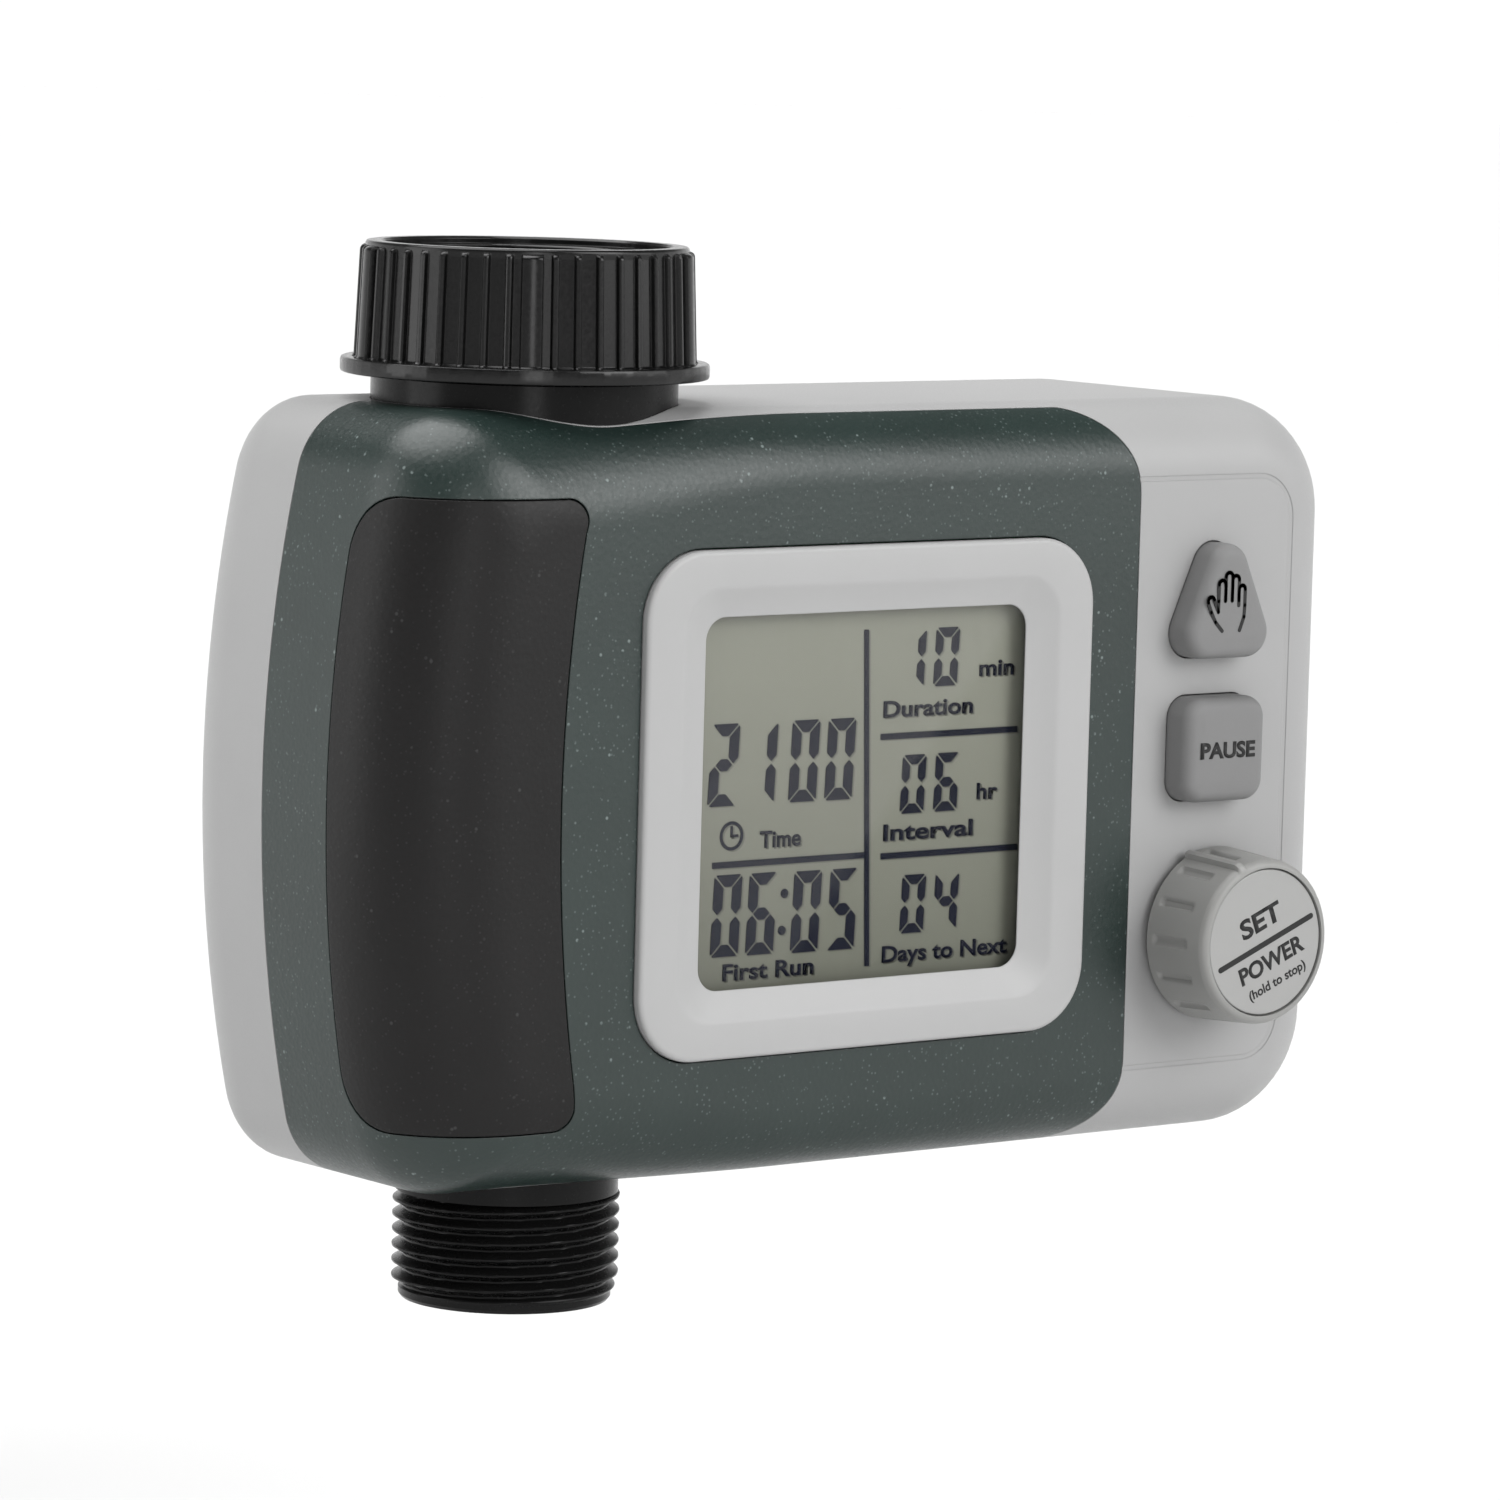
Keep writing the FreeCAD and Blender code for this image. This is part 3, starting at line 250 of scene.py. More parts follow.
def combine(operation, target, *tools):
    """Boolean of target with each tool in turn; the tools are used up."""
    for tool in tools:
        modifier = target.modifiers.new("boolean", "BOOLEAN")
        modifier.operation = operation
        modifier.solver = "MANIFOLD"
        modifier.object = tool
        apply_modifiers(target)
        discard(tool)
    return target


def cut(target, *tools):
    return combine("DIFFERENCE", target, *tools)


def union(target, *tools):
    return combine("UNION", target, *tools)


def common(target, *tools):
    return combine("INTERSECT", target, *tools)


def apply_modifiers(thing):
    bpy.context.view_layer.update()
    seen = thing.evaluated_get(bpy.context.evaluated_depsgraph_get())
    data = bpy.data.meshes.new_from_object(seen)
    thing.modifiers.clear()
    old = thing.data
    thing.data = data
    bpy.data.meshes.remove(old)


def copied(thing):
    return placed(thing.name, thing.data.copy())


def joined(name, things):
    """Several loose meshes as one piece."""
    mesh = bmesh.new()
    for thing in things:
        mesh.from_mesh(thing.data)
        discard(thing)
    data = bpy.data.meshes.new(name)
    mesh.to_mesh(data)
    mesh.free()
    return placed(name, data)


def smooth(thing, angle=32.0, weighted=True):
    """Smooth shading that keeps edges sharper than angle."""
    with editing(thing) as mesh:
        for face in mesh.faces:
            face.smooth = True
        for edge in mesh.edges:
            edge.smooth = edge.calc_face_angle(math.pi) < math.radians(angle)
    if weighted:
        modifier = thing.modifiers.new("weighted", "WEIGHTED_NORMAL")
        modifier.keep_sharp = True
        modifier.weight = 100


def piece(thing, name, material, body="case", stands_for=()):
    """Name a finished piece, give it its material, its body and what it stands for."""
    thing.name = name
    thing.data.name = name
    thing.data.materials.clear()
    thing.data.materials.append(materials[material])
    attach(thing, body)
    if stands_for:
        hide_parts(*stands_for)


# ------------------------ materials


class Tree:
    """A node tree with short calls for the nodes used here."""

    def __init__(self, tree):
        self.tree = tree

    def new(self, kind, **settings):
        node = self.tree.nodes.new("ShaderNode" + kind)
        for name, value in settings.items():
            setattr(node, name, value)
        return node

    def plug(self, socket, source):
        """Link a socket, or set its own value."""
        if isinstance(source, bpy.types.NodeSocket):
            self.tree.links.new(source, socket)
        else:
            socket.default_value = source

    def feed(self, node, **sources):
        """Plug a node's sockets by name."""
        for name, source in sources.items():
            self.plug(node.inputs[name.replace("_", " ")], source)

    def math(self, operation, *sources):
        node = self.new("Math", operation=operation)
        for socket, source in zip(node.inputs, sources):
            self.plug(socket, source)
        return node.outputs["Value"]

    def map(self, source, low, high, start=0.0, end=1.0, **settings):
        """Turn the range from start to end into the range from low to high."""
        node = self.new("MapRange", **settings)
        self.feed(node, Value=source, From_Min=start, From_Max=end, To_Min=low, To_Max=high)
        return node.outputs["Result"]

    def parts(self, place):
        node = self.new("SeparateXYZ")
        self.feed(node, Vector=place)
        return node.outputs


class Nodes(Tree):
    """A material's node tree, around its one shader."""

    def __init__(self, name, color, roughness, metallic=0.0):
        self.name = name
        self.material = bpy.data.materials.new(name)
        self.material.use_nodes = True
        super().__init__(self.material.node_tree)
        self.shader = self.tree.nodes["Principled BSDF"]
        self.feed(self.shader, Base_Color=(*color, 1), Roughness=roughness, Metallic=metallic)
        self.place = self.new("TexCoord").outputs["Object"]
        self.normal = None

    def noise(self, scale, detail=3.0, roughness=0.55, distortion=0.0):
        node = self.new("TexNoise")
        self.feed(node, Vector=self.place, Scale=scale, Detail=detail)
        self.feed(node, Roughness=roughness, Distortion=distortion)
        return node.outputs["Fac"]

    def cells(self, scale):
        node = self.new("TexVoronoi")
        self.feed(node, Vector=self.place, Scale=scale)
        return node.outputs["Distance"]

    def ramp(self, source, stops):
        node = self.new("ValToRGB")
        elements = node.color_ramp.elements
        while len(elements) < len(stops):
            elements.new(0.5)
        for element, (position, color) in zip(elements, stops):
            element.position = position
            element.color = (*color, 1)
        self.feed(node, Fac=source)
        return node.outputs["Color"]

    def tinted(self, share, color):
        """Turn the base colour into another one by share."""
        node = self.new("Mix", data_type="RGBA")
        self.plug(node.inputs[0], share)
        self.plug(node.inputs[6], self.shader.inputs["Base Color"].links[0].from_socket)
        self.plug(node.inputs[7], (*color, 1))
        self.feed(self.shader, Base_Color=node.outputs[2])

    def bevel(self, radius):
        """Soften cut edges in the shading."""
        node = self.new("Bevel", samples=4)
        self.feed(node, Radius=radius)
        self.normal = node.outputs["Normal"]
        self.feed(self.shader, Normal=self.normal)

    def bump(self, source, strength, distance):
        """Add one layer of bump; layers stack."""
        node = self.new("Bump")
        self.feed(node, Height=source, Strength=strength, Distance=distance)
        if self.normal is not None:
            self.feed(node, Normal=self.normal)
        self.normal = node.outputs["Normal"]
        self.feed(self.shader, Normal=self.normal)


def shade(color, factor):
    return tuple(min(1.0, part * factor) for part in color)


def grey(level):
    return (level, level, level)


EDGE_SOFTNESS = 0.00022
# Pale fleck colours, painted in as glints of the grain catching light.
GREEN_PAINTED_GLINT = (0.12, 0.15, 0.145)
BLACK_PAINTED_GLINT = grey(0.03)
FINE = 4200


def moulded(name, color, roughness, grain, depth, mottle, specular, edge=0.0):
    """Moulded plastic: fine spark-eroded grain, faint cloudiness and slightly uneven gloss."""
    nodes = Nodes(name, color, roughness)
    if edge:
        nodes.bevel(edge)
    cloud = nodes.noise(70, 4, 0.6)
    fine = nodes.noise(grain, 2, 0.6)
    tint = nodes.ramp(cloud, [(0.3, shade(color, 1 - mottle)), (0.7, shade(color, 1 + mottle))])
    nodes.feed(nodes.shader, Base_Color=tint, Specular_IOR_Level=specular)
    nodes.feed(nodes.shader, Roughness=nodes.map(fine, roughness - 0.06, roughness + 0.08, 0.25, 0.75))
    nodes.bump(fine, 0.5, depth)
    return nodes


def with_painted_glints(surface, glint_color):
    """Moulded plastic in a fine pebble grain, with sparse pale flecks painted in as glints where the grain
    catches light.
    """
    nodes = moulded(*surface)
    # Painted glints: two layers of pale dots, gathered in patches.
    for scale, patch, start, share in ((950, 330, 0.60, 1.0), (1400, 420, 0.44, 0.40)):
        glint_dots = nodes.map(nodes.cells(scale), share, 0.0, 0.12, 0.24)
        glint_patches = nodes.map(nodes.noise(patch, 2, 0.6), 0.0, 1.0, start, start + 0.06)
        nodes.tinted(nodes.math("MULTIPLY", glint_dots, glint_patches), glint_color)
    nodes.bump(nodes.cells(1500), 0.7, 0.000025)
    return nodes


def metal(name, color, roughness):
    """Plated metal with fine wear."""
    nodes = Nodes(name, color, roughness, 1.0)
    wear = nodes.noise(900, 5, 0.65, 0.4)
    tint = nodes.ramp(wear, [(0.3, shade(color, 0.88)), (0.7, shade(color, 1.08))])
    nodes.feed(nodes.shader, Base_Color=tint, Roughness=nodes.map(wear, roughness - 0.08, roughness + 0.12))
    nodes.bump(wear, 0.3, 0.00001)
    return nodes


def window_with_painted_sheen():
    """Clear window: a real mirror reflection whose strength is painted in, a painted sheen that is stronger
    near the top and above a slanting edge.
    """
    nodes = Nodes("clear_window", (0.9, 0.9, 0.9), 0.05, 1.0)
    parts = nodes.parts(nodes.place)
    # Painted reflection: a slanting edge and a fade towards the top, fixed on the window, set how much of
    # the mirror shows.
    slope = nodes.math("MULTIPLY_ADD", parts["Z"], -0.835, parts["X"])
    painted_edge_band = nodes.map(slope, 1.0, 0.3, 0.0847, 0.0851)
    painted_top_fade = nodes.map(parts["Z"], 0.010, 0.030, -0.076, -0.034)
    painted_sheen = nodes.math("MULTIPLY", painted_edge_band, painted_top_fade)
    nodes.feed(nodes.shader, Alpha=painted_sheen, Roughness=nodes.map(nodes.noise(90), 0.04, 0.10))
    return nodes


def crystal_film(name, color, painted_shade_color):
    """Display film with painted shade that darkens it towards its lower edge, and a faint cloudiness."""
    nodes = moulded(name, color, 0.6, FINE, 0.000002, 0.012, 0.15)
    # Painted shade: the colour turns darker from the top of the display to its bottom.
    nodes.tinted(nodes.map(nodes.parts(nodes.place)["Z"], 1.0, 0.0, -0.074, -0.040), painted_shade_color)
    return nodes


# Name, colour, roughness, grain scale, grain depth, mottle, specular and the softness of cut edges.
plastics = [
    ("shell_grey", grey(0.30), 0.42, FINE, 0.000008, 0.015, 0.4, EDGE_SOFTNESS),
    ("bezel_grey", grey(0.34), 0.42, FINE, 0.000010, 0.012, 0.4),
    ("black_gloss", grey(0.004), 0.24, 2200, 0.000012, 0.1, 0.16),
    ("nut_black", grey(0.004), 0.19, 2200, 0.000008, 0.1, 0.30, 0.00016),
    ("hose_black", grey(0.0045), 0.22, 2200, 0.000004, 0.1, 0.12),
    ("key_rubber", grey(0.175), 0.6, FINE, 0.000008, 0.02, 0.25),
    ("knob_grey", (0.235, 0.235, 0.228), 0.42, FINE, 0.000006, 0.015, 0.4),
    ("label_foil", (0.29, 0.29, 0.285), 0.38, FINE, 0.000005, 0.015, 0.4),
    ("seal_rubber", grey(0.02), 0.6, 3200, 0.00001, 0.1, 0.4),
    ("board", (0.02, 0.13, 0.05), 0.35, 1500, 0.00001, 0.15, 0.5),
    ("white_plastic", (0.6, 0.6, 0.57), 0.45, FINE, 0.000008, 0.02, 0.5),
    ("chip_black", (0.022, 0.022, 0.023), 0.5, FINE, 0.00001, 0.08, 0.4),
    ("battery", (0.05, 0.055, 0.07), 0.3, 1800, 0.000006, 0.1, 0.5),
    ("screen_mesh", (0.12, 0.12, 0.125), 0.5, 3200, 0.00001, 0.06, 0.4),
    ("lcd_ink", (0.004, 0.005, 0.012), 0.5, FINE, 0.000002, 0.04, 0.05),
    ("print_black", grey(0.010), 0.5, FINE, 0.000004, 0.05, 0.3),
]
cover_surface = ("cover_green", (0.010, 0.020, 0.0175), 0.36, 2600, 0.00001, 0.10, 0.5, EDGE_SOFTNESS)
panel_surface = ("panel_black", (0.007, 0.0066, 0.0066), 0.42, 3000, 0.00001, 0.10, 0.22, EDGE_SOFTNESS)
made = [moulded(*surface) for surface in plastics] + [
    with_painted_glints(cover_surface, GREEN_PAINTED_GLINT),
    with_painted_glints(panel_surface, BLACK_PAINTED_GLINT),
    metal("steel", (0.58, 0.58, 0.6), 0.3),
    metal("copper", (0.72, 0.34, 0.16), 0.35),
    window_with_painted_sheen(),
    # The display film and its painted segment shadow, both with painted shade towards the bottom.
    crystal_film("lcd", (0.185, 0.19, 0.155), (0.118, 0.122, 0.098)),
    crystal_film("lcd_painted_shadow", (0.115, 0.118, 0.098), (0.078, 0.080, 0.066)),
]
materials = {nodes.name: nodes.material for nodes in made}

for part in frame["record"]["subparts"]:
    data = frame["nodes"][part["node"]].data
    data.materials.clear()
    data.materials.append(materials[part["material_slot"]])

# ------------------------ case


def clamped(share):
    return min(1.0, max(0.0, share))


def eased(share):
    return share * share * (3 - 2 * share)


BLEND_START = 26.0
BLEND_SHARE = 0.65
BLEND_STEPS = 24
CORNER_STEPS = 14
SIDE_STEPS = 48
EDGE_STEPS = 16


def upper_corner(inset, bow, small):
    """The corner between the flat top and the bowed left side, and the angle that the bow reaches."""
    top = (CASE_TOP - CASE_BOTTOM) / 2 - inset - small
    reach = math.sqrt((bow - small) ** 2 - top ** 2)
    tilt = math.degrees(math.atan2(top, reach))
    return arc((BOW_X - reach, MIDDLE_Z + top), small, 90, 180 - tilt, BLEND_STEPS), tilt


def straight(start, end, steps):
    """Points of a line without its last end."""
    shares = [step / steps for step in range(steps)]
    return [(start[0] + (end[0] - start[0]) * t, start[1] + (end[1] - start[1]) * t) for t in shares]


def left_side(inset, edge, left_edge):
    """The upper half of the outline's left part, from the start of the blend to the end of the corner."""
    half = (CASE_TOP - CASE_BOTTOM) / 2
    part = edge + (left_edge - edge) * BLEND_SHARE
    steps = BLEND_STEPS
    around, tilt = upper_corner(inset, SIDE_ARC - inset, LEFT_CORNER - inset)
    within, flat_tilt = upper_corner(part, SIDE_ARC - left_edge, INNER_CORNER)
    outer = straight((BLEND_START, CASE_TOP - inset), around[0], steps) + around
    line = straight((BLEND_START, 0), (within[0][0], 0), steps)
    growing = [edge + (part - edge) * eased(step / steps) for step in range(steps)]
    flat = [(x, MIDDLE_Z + half - radius) for (x, _), radius in zip(line, growing)] + within
    radii = growing + [part + (left_edge - part) * eased(step / steps) for step in range(steps + 1)]
    return outer, flat, radii, tilt, flat_tilt


def mirrored(points):
    """The same points below the middle height, in reverse order."""
    return [(x, 2 * MIDDLE_Z - z) for x, z in reversed(points)]


def bowed(radius, tilt):
    """The bowed left side without its two ends, which belong to the corners."""
    return arc((BOW_X, MIDDLE_Z), radius, 180 - tilt, 180 + tilt, SIDE_STEPS)[1:-1]


def case_ring(inset, edge, left_edge):
    """Outline of the case, and of the flat that its edges leave, with the edge radius at each point."""
    right, low, high = CASE_RIGHT - RIGHT_CORNER, CASE_BOTTOM + RIGHT_CORNER, CASE_TOP - RIGHT_CORNER
    outer, flat, radii = [], [], []
    for centre, start in (((right, low), -90), ((right, high), 0)):
        outer += arc(centre, RIGHT_CORNER - inset, start, start + 90, CORNER_STEPS)
        flat += arc(centre, RIGHT_CORNER - edge, start, start + 90, CORNER_STEPS)
        radii += [edge] * (CORNER_STEPS + 1)
    side, side_flat, side_radii, tilt, flat_tilt = left_side(inset, edge, left_edge)
    outer += side + bowed(SIDE_ARC - inset, tilt) + mirrored(side)
    flat += side_flat + bowed(SIDE_ARC - left_edge, flat_tilt) + mirrored(side_flat)
    radii += side_radii + [left_edge] * (SIDE_STEPS - 1) + side_radii[::-1]
    return outer, flat, radii


def case_body(inset):
    """The outside of the case, moved in by inset on every side."""
    rings = []
    for edge, left_edge, end, way in (
        (FRONT_EDGE, FRONT_LEFT_EDGE, CASE_FRONT, 1),
        (BACK_EDGE, BACK_LEFT_EDGE, CASE_BACK, -1),
    ):
        outer, flat, radii = case_ring(inset, edge, left_edge)
        half = []
        for turn in quarter(EDGE_STEPS):
            ring = []
            for (ox, oz), (fx, fz), radius in zip(outer, flat, radii):
                y = end + way * (inset + (radius - inset) * (1 - math.cos(turn)))
                ring.append((fx + (ox - fx) * math.sin(turn), y, fz + (oz - fz) * math.sin(turn)))
            half.append(ring)
        rings += half if way > 0 else half[::-1]
    return in_triangles(loft(rings, "case"))


class Skin:
    """The smooth normals of an uncut body, for the pieces cut from it."""

    def __init__(self, thing):
        data = thing.data
        self.points = [vertex.co.copy() for vertex in data.vertices]
        self.normals = [vertex.normal.copy() for vertex in data.vertices]
        self.faces = [tuple(face.vertices) for face in data.polygons]
        self.tree = BVHTree.FromPolygons(self.points, self.faces)

    def at(self, point):
        spot, _, number, distance = self.tree.find_nearest(point)
        face = self.faces[number]
        shares = poly_3d_calc([self.points[corner] for corner in face], spot)
        total = Vector()
        for corner, share in zip(face, shares):
            total += self.normals[corner] * share
        return total.normalized(), distance

    def dress(self, thing):
        """Faces on the skin take its normals; faces of cuts stay flat."""
        data = thing.data
        found = [self.at(vertex.co) for vertex in data.vertices]
        normals = []
        for face in data.polygons:
            face.use_smooth = True
            own = face.normal
            near = [found[number] for number in face.vertices]
            fits = all(distance < 0.00003 and normal.dot(own) > 0.85 for normal, distance in near)
            normals += [found[number][0] if fits else own for number in face.vertices]
        data.normals_split_custom_set(normals)


def cover_region(grow):
    """Where the case is green: the front, and the left side round the neck."""
    line, low_line = COVER_DEPTH_LINE + grow, COVER_LOW_LINE + grow
    behind_edge = FRONT_EDGE - (line - CASE_FRONT)
    drop = FRONT_EDGE - math.sqrt(FRONT_EDGE ** 2 - behind_edge ** 2) - 0.03
    outline = rounded(-FAR, COVER_RIGHT + grow, CASE_BOTTOM - 0.03, CASE_TOP - drop, COVER_CORNER, 24)
    front = prism_y(outline, -FAR, line)
    lower = common(prism_y(outline, -FAR, low_line), up_to(z=MIDDLE_Z))
    front = union(front, lower)
    side = up_to(x=0, y=COVER_SIDE_LINE + grow)
    ahead = up_to(y=line)
    around_neck = cut(rod_z(NECK_SURROUND - grow, -FAR - 5, FAR + 5), ahead)
    return union(front, cut(side, around_neck))


def panel_region(grow):
    """Where the black panel lies: it wraps the front left edge."""
    top, bottom = panel_high.z + grow, panel_low.z - grow
    middle = PANEL_RIGHT_END - PANEL_SAGITTA + grow
    half = (top - bottom) / 2
    bow = (half ** 2 + PANEL_SAGITTA ** 2) / (2 * PANEL_SAGITTA)
    corner = 2.5
    corner_x = middle + bow - math.sqrt((bow + corner) ** 2 - (half - corner) ** 2)
    lean = math.degrees(math.atan2(half - corner, middle + bow - corner_x))
    upper = arc((corner_x, top - corner), corner, -lean, 90, 12)
    lower = arc((corner_x, bottom + corner), corner, -90, lean, 12)
    curve = arc((middle + bow, MIDDLE_Z), bow, 180 + lean, 180 - lean, 40)
    outline = lower + curve[1:-1] + upper + [(-FAR, top), (-FAR, bottom)]
    front_view = prism_y(outline, -FAR, FAR)
    line, round_off = PANEL_SIDE_LINE + grow, 6.5
    side_outline = (
        [(-FAR, bottom)]
        + arc((line - round_off, bottom + round_off), round_off, -90, 0, 14)
        + arc((line - round_off, top - round_off), round_off, 0, 90, 14)
        + [(-FAR, top)]
    )
    side_view = prism_x(side_outline, -FAR, FAR)
    return common(front_view, side_view)


def make_case():
    solid = case_body(0)
    skin = Skin(solid)
    shell = cut(copied(solid), case_body(WALL))
    make_housing(copied(shell), skin)
    make_rear(copied(shell), skin)
    make_cover(shell, skin)
    make_panel(solid, skin)


DISPLAY_X, _, DISPLAY_Z = (bezel_low + bezel_high) / 2
BEZEL_WIDE, _, BEZEL_HIGH = bezel_high - bezel_low
BEZEL_CORNER = 8.0


def display_outline(wide, high, radius, steps=14):
    across, up = wide / 2, high / 2
    return rounded(DISPLAY_X - across, DISPLAY_X + across, DISPLAY_Z - up, DISPLAY_Z + up, radius, steps)


def through_front(outline):
    """A tool that reaches through the case's front wall."""
    return prism_y(outline, CASE_FRONT - 5, CASE_FRONT + 5)


def make_cover(shell, skin):
    body = common(shell, cover_region(-SEAM_HALF))
    body = cut(body, cut(panel_region(PANEL_GAP), case_body(PANEL_SKIN + 0.02)))
    gap = 0.2
    around_bezel = display_outline(BEZEL_WIDE + 2 * gap, BEZEL_HIGH + 2 * gap, BEZEL_CORNER + gap)
    body = cut(body, through_front(around_bezel))
    skin.dress(body)
    piece(body, "front_cover_shell", "cover_green", stands_for=["front_cover"])


def make_panel(solid, skin):
    body = cut(common(solid, panel_region(-SEAM_HALF)), case_body(PANEL_SKIN))
    skin.dress(body)
    piece(body, "valve_panel_skin", "panel_black", stands_for=["valve_panel"])


KEY_GAP = 0.16
KEY_LIP = 1.2
KEY_X, _, DELAY_Z = (delay_low + delay_high) / 2
MANUAL_Z = (manual_low.z + manual_high.z) / 2
KNOB_X, _, KNOB_Z = (knob_low + knob_high) / 2


def manual_outline(inset):
    """Rounded triangle, point up."""
    corner = 3.1
    wide = manual_high.x - manual_low.x - 2 * KEY_LIP
    high = manual_high.z - manual_low.z - 2 * KEY_LIP
    half, low = wide / 2 - corner, MANUAL_Z - high / 2 + corner
    top = low + high - 2 * corner
    lean = math.degrees(math.atan2(half, top - low))
    radius = corner - inset
    return (
        arc((KEY_X + half, low), radius, -90, lean, 14)
        + arc((KEY_X, top), radius, lean, 180 - lean, 16)
        + arc((KEY_X - half, low), radius, 180 - lean, 270, 14)
    )


def delay_outline(inset):
    half = (delay_high.x - delay_low.x) / 2 - KEY_LIP - inset
    return rounded(KEY_X - half, KEY_X + half, DELAY_Z - half, DELAY_Z + half, 2.6 - inset, 12)


CONTROL_LEFT, CONTROL_RIGHT = 60.0, 98.2
CONTROL_BOTTOM, CONTROL_TOP = -90.2, -18.8
CONTROL_CORNER, GROOVE_WIDE, GROOVE_DEEP = 5.5, 0.6, 0.07
CASE_SCREWS = [(x, z) for x in (-14.0, 45.0, 95.0) for z in (-20.0, -89.0)]


def control_outline(inset):
    return rounded(
        CONTROL_LEFT + inset,
        CONTROL_RIGHT - inset,
        CONTROL_BOTTOM + inset,
        CONTROL_TOP - inset,
        CONTROL_CORNER - inset,
    )


def make_housing(shell, skin):
    body = cut(shell, cover_region(SEAM_HALF))
    body = cut(body, block((-FAR, CASE_SEAM, -FAR), (FAR, FAR, FAR)))
    for outline in (manual_outline, delay_outline):
        body = cut(body, through_front(outline(-KEY_GAP)))
    doorway = block(
        (drawer_low.x - 0.3, drawer_low.y - 0.3, CASE_BOTTOM - 5),
        (drawer_high.x + 0.3, drawer_high.y + 0.3, CASE_BOTTOM + 5),
    )
    body = cut(
        body,
        doorway,
        through_front(circle(KNOB_X, KNOB_Z, 3.5, 48)),
        rod_z(NECK_RADIUS + 0.06, CASE_TOP - 5, CASE_TOP + 5),
        rod_z(OUTLET_NECK + 0.06, CASE_BOTTOM - 5, CASE_BOTTOM + 5),
    )
    outside = prism_y(control_outline(0), CASE_FRONT - 5, CASE_FRONT + GROOVE_DEEP)
    inside = prism_y(control_outline(GROOVE_WIDE), CASE_FRONT - 6, CASE_FRONT + 5)
    body = cut(body, cut(outside, inside))
    skin.dress(body)
    piece(body, "main_housing_shell", "shell_grey", stands_for=["main_housing"])


def make_rear(shell, skin):
    body = cut(shell, up_to(y=CASE_SEAM + REAR_GAP))
    for x, z in CASE_SCREWS:
        boss = prism_y(circle(x, z, 3.8, 48), CASE_SEAM + 0.1, CASE_BACK - 0.5)
        body = union(body, common(boss, case_body(0.4)))
        body = cut(body, prism_y(circle(x, z, 1.7, 32), CASE_SEAM - 1, CASE_BACK + 1))
        body = cut(body, prism_y(circle(x, z, 3.1, 48), CASE_BACK - 2.1, CASE_BACK + 1))
    skin.dress(body)
    piece(body, "rear_cover_shell", "shell_grey", stands_for=["rear_cover"])


# ------------------------ display

WINDOW_WIDE, WINDOW_HIGH, WINDOW_CORNER = 47.3, 43.0, 2.75


def bezel_ring(share, y):
    """The bezel's outline between its outside (share 0) and its window (share 1)."""
    wide = BEZEL_WIDE + (WINDOW_WIDE - BEZEL_WIDE) * share
    high = BEZEL_HIGH + (WINDOW_HIGH - BEZEL_HIGH) * share
    return facing(display_outline(wide, high, BEZEL_CORNER + (WINDOW_CORNER - BEZEL_CORNER) * share), y)


def make_bezel():
    face, window_edge = bezel_low.y, bezel_low.y + 1.42
    profile = [(0.0, face + 1.75), (0.0, face + 0.55)]
    for turn in quarter(6, 1):
        profile.append((0.075 * (1 - math.cos(turn)), face + 0.55 - 0.55 * math.sin(turn)))
    profile += [(0.3, face), (0.52, face), (0.55, face + 0.03), (0.58, face + 0.10), (0.61, face + 0.20)]
    profile += [(0.64, face + 0.31), (0.975, window_edge)]
    for turn in quarter(4, 1):
        profile.append((0.975 + 0.025 * math.sin(turn), window_edge + 0.14 * (1 - math.cos(turn))))
    profile += [(1.0, face + 1.58), (0.62, face + 1.58), (0.62, face + 1.75)]
    body = loft([bezel_ring(share, y) for share, y in profile], "bezel", closed=True)
    smooth(body, 40, weighted=False)
    piece(body, "display_bezel_ring", "bezel_grey", stands_for=["display_bezel"])


def make_lens():
    front = lens_low.y
    rings = [(0.25, front), (0.0, front + 0.25), (0.0, lens_high.y)]
    wide, _, high = lens_high - lens_low
    body = loft([
        facing(display_outline(wide - 2 * inset, high - 2 * inset, 4.5 - inset), y) for inset, y in rings
    ])
    smooth(body)
    piece(body, "display_window", "clear_window", stands_for=["display_lens"])


INK_Y = lcd_low.y - 0.06
# Depth of the painted shadow: a darker copy of the print, just behind it.
PAINTED_SHADOW_Y = lcd_low.y - 0.02
PRINT_SHEAR = 0.0355
DIGIT_LEAN = 0.045
INK_THICK = 0.03
RULE_HALF = 0.37
LABEL_HIGH = 1.95

SEGMENTS = {
    "0": "abcdef", "1": "bc", "2": "abged", "4": "fgbc", "5": "afgcd", "6": "afgedc",
}


def segment_shapes(wide, high, stroke, gap):
    """The seven bars of a digit, mitred at their ends, from its lower left corner."""
    half, cropped, nib = high / 2, 0.32, stroke / 2
    tip = cropped / 2
    shapes = {
        "a": [(cropped, high), (wide - cropped, high), (wide - tip - gap, high - tip),
              (wide - stroke - gap, high - stroke), (stroke + gap, high - stroke), (tip + gap, high - tip)],
        "f": [(0, high - cropped), (tip, high - tip - gap), (stroke, high - stroke - gap),
              (stroke, half + nib + gap), (nib, half + gap), (0, half + nib + gap)],
        "g": [(nib + gap, half), (stroke + gap, half + nib), (wide - stroke - gap, half + nib),
              (wide - nib - gap, half), (wide - stroke - gap, half - nib), (stroke + gap, half - nib)],
    }
    shapes["d"] = [(x, high - z) for x, z in shapes["a"]]
    shapes["e"] = [(x, high - z) for x, z in shapes["f"]]
    shapes["b"] = [(wide - x, z) for x, z in shapes["f"]]
    shapes["c"] = [(wide - x, high - z) for x, z in shapes["f"]]
    return shapes


def inked(outline, y, thick=INK_THICK):
    return prism_y(outline, y - thick / 2, y + thick / 2)


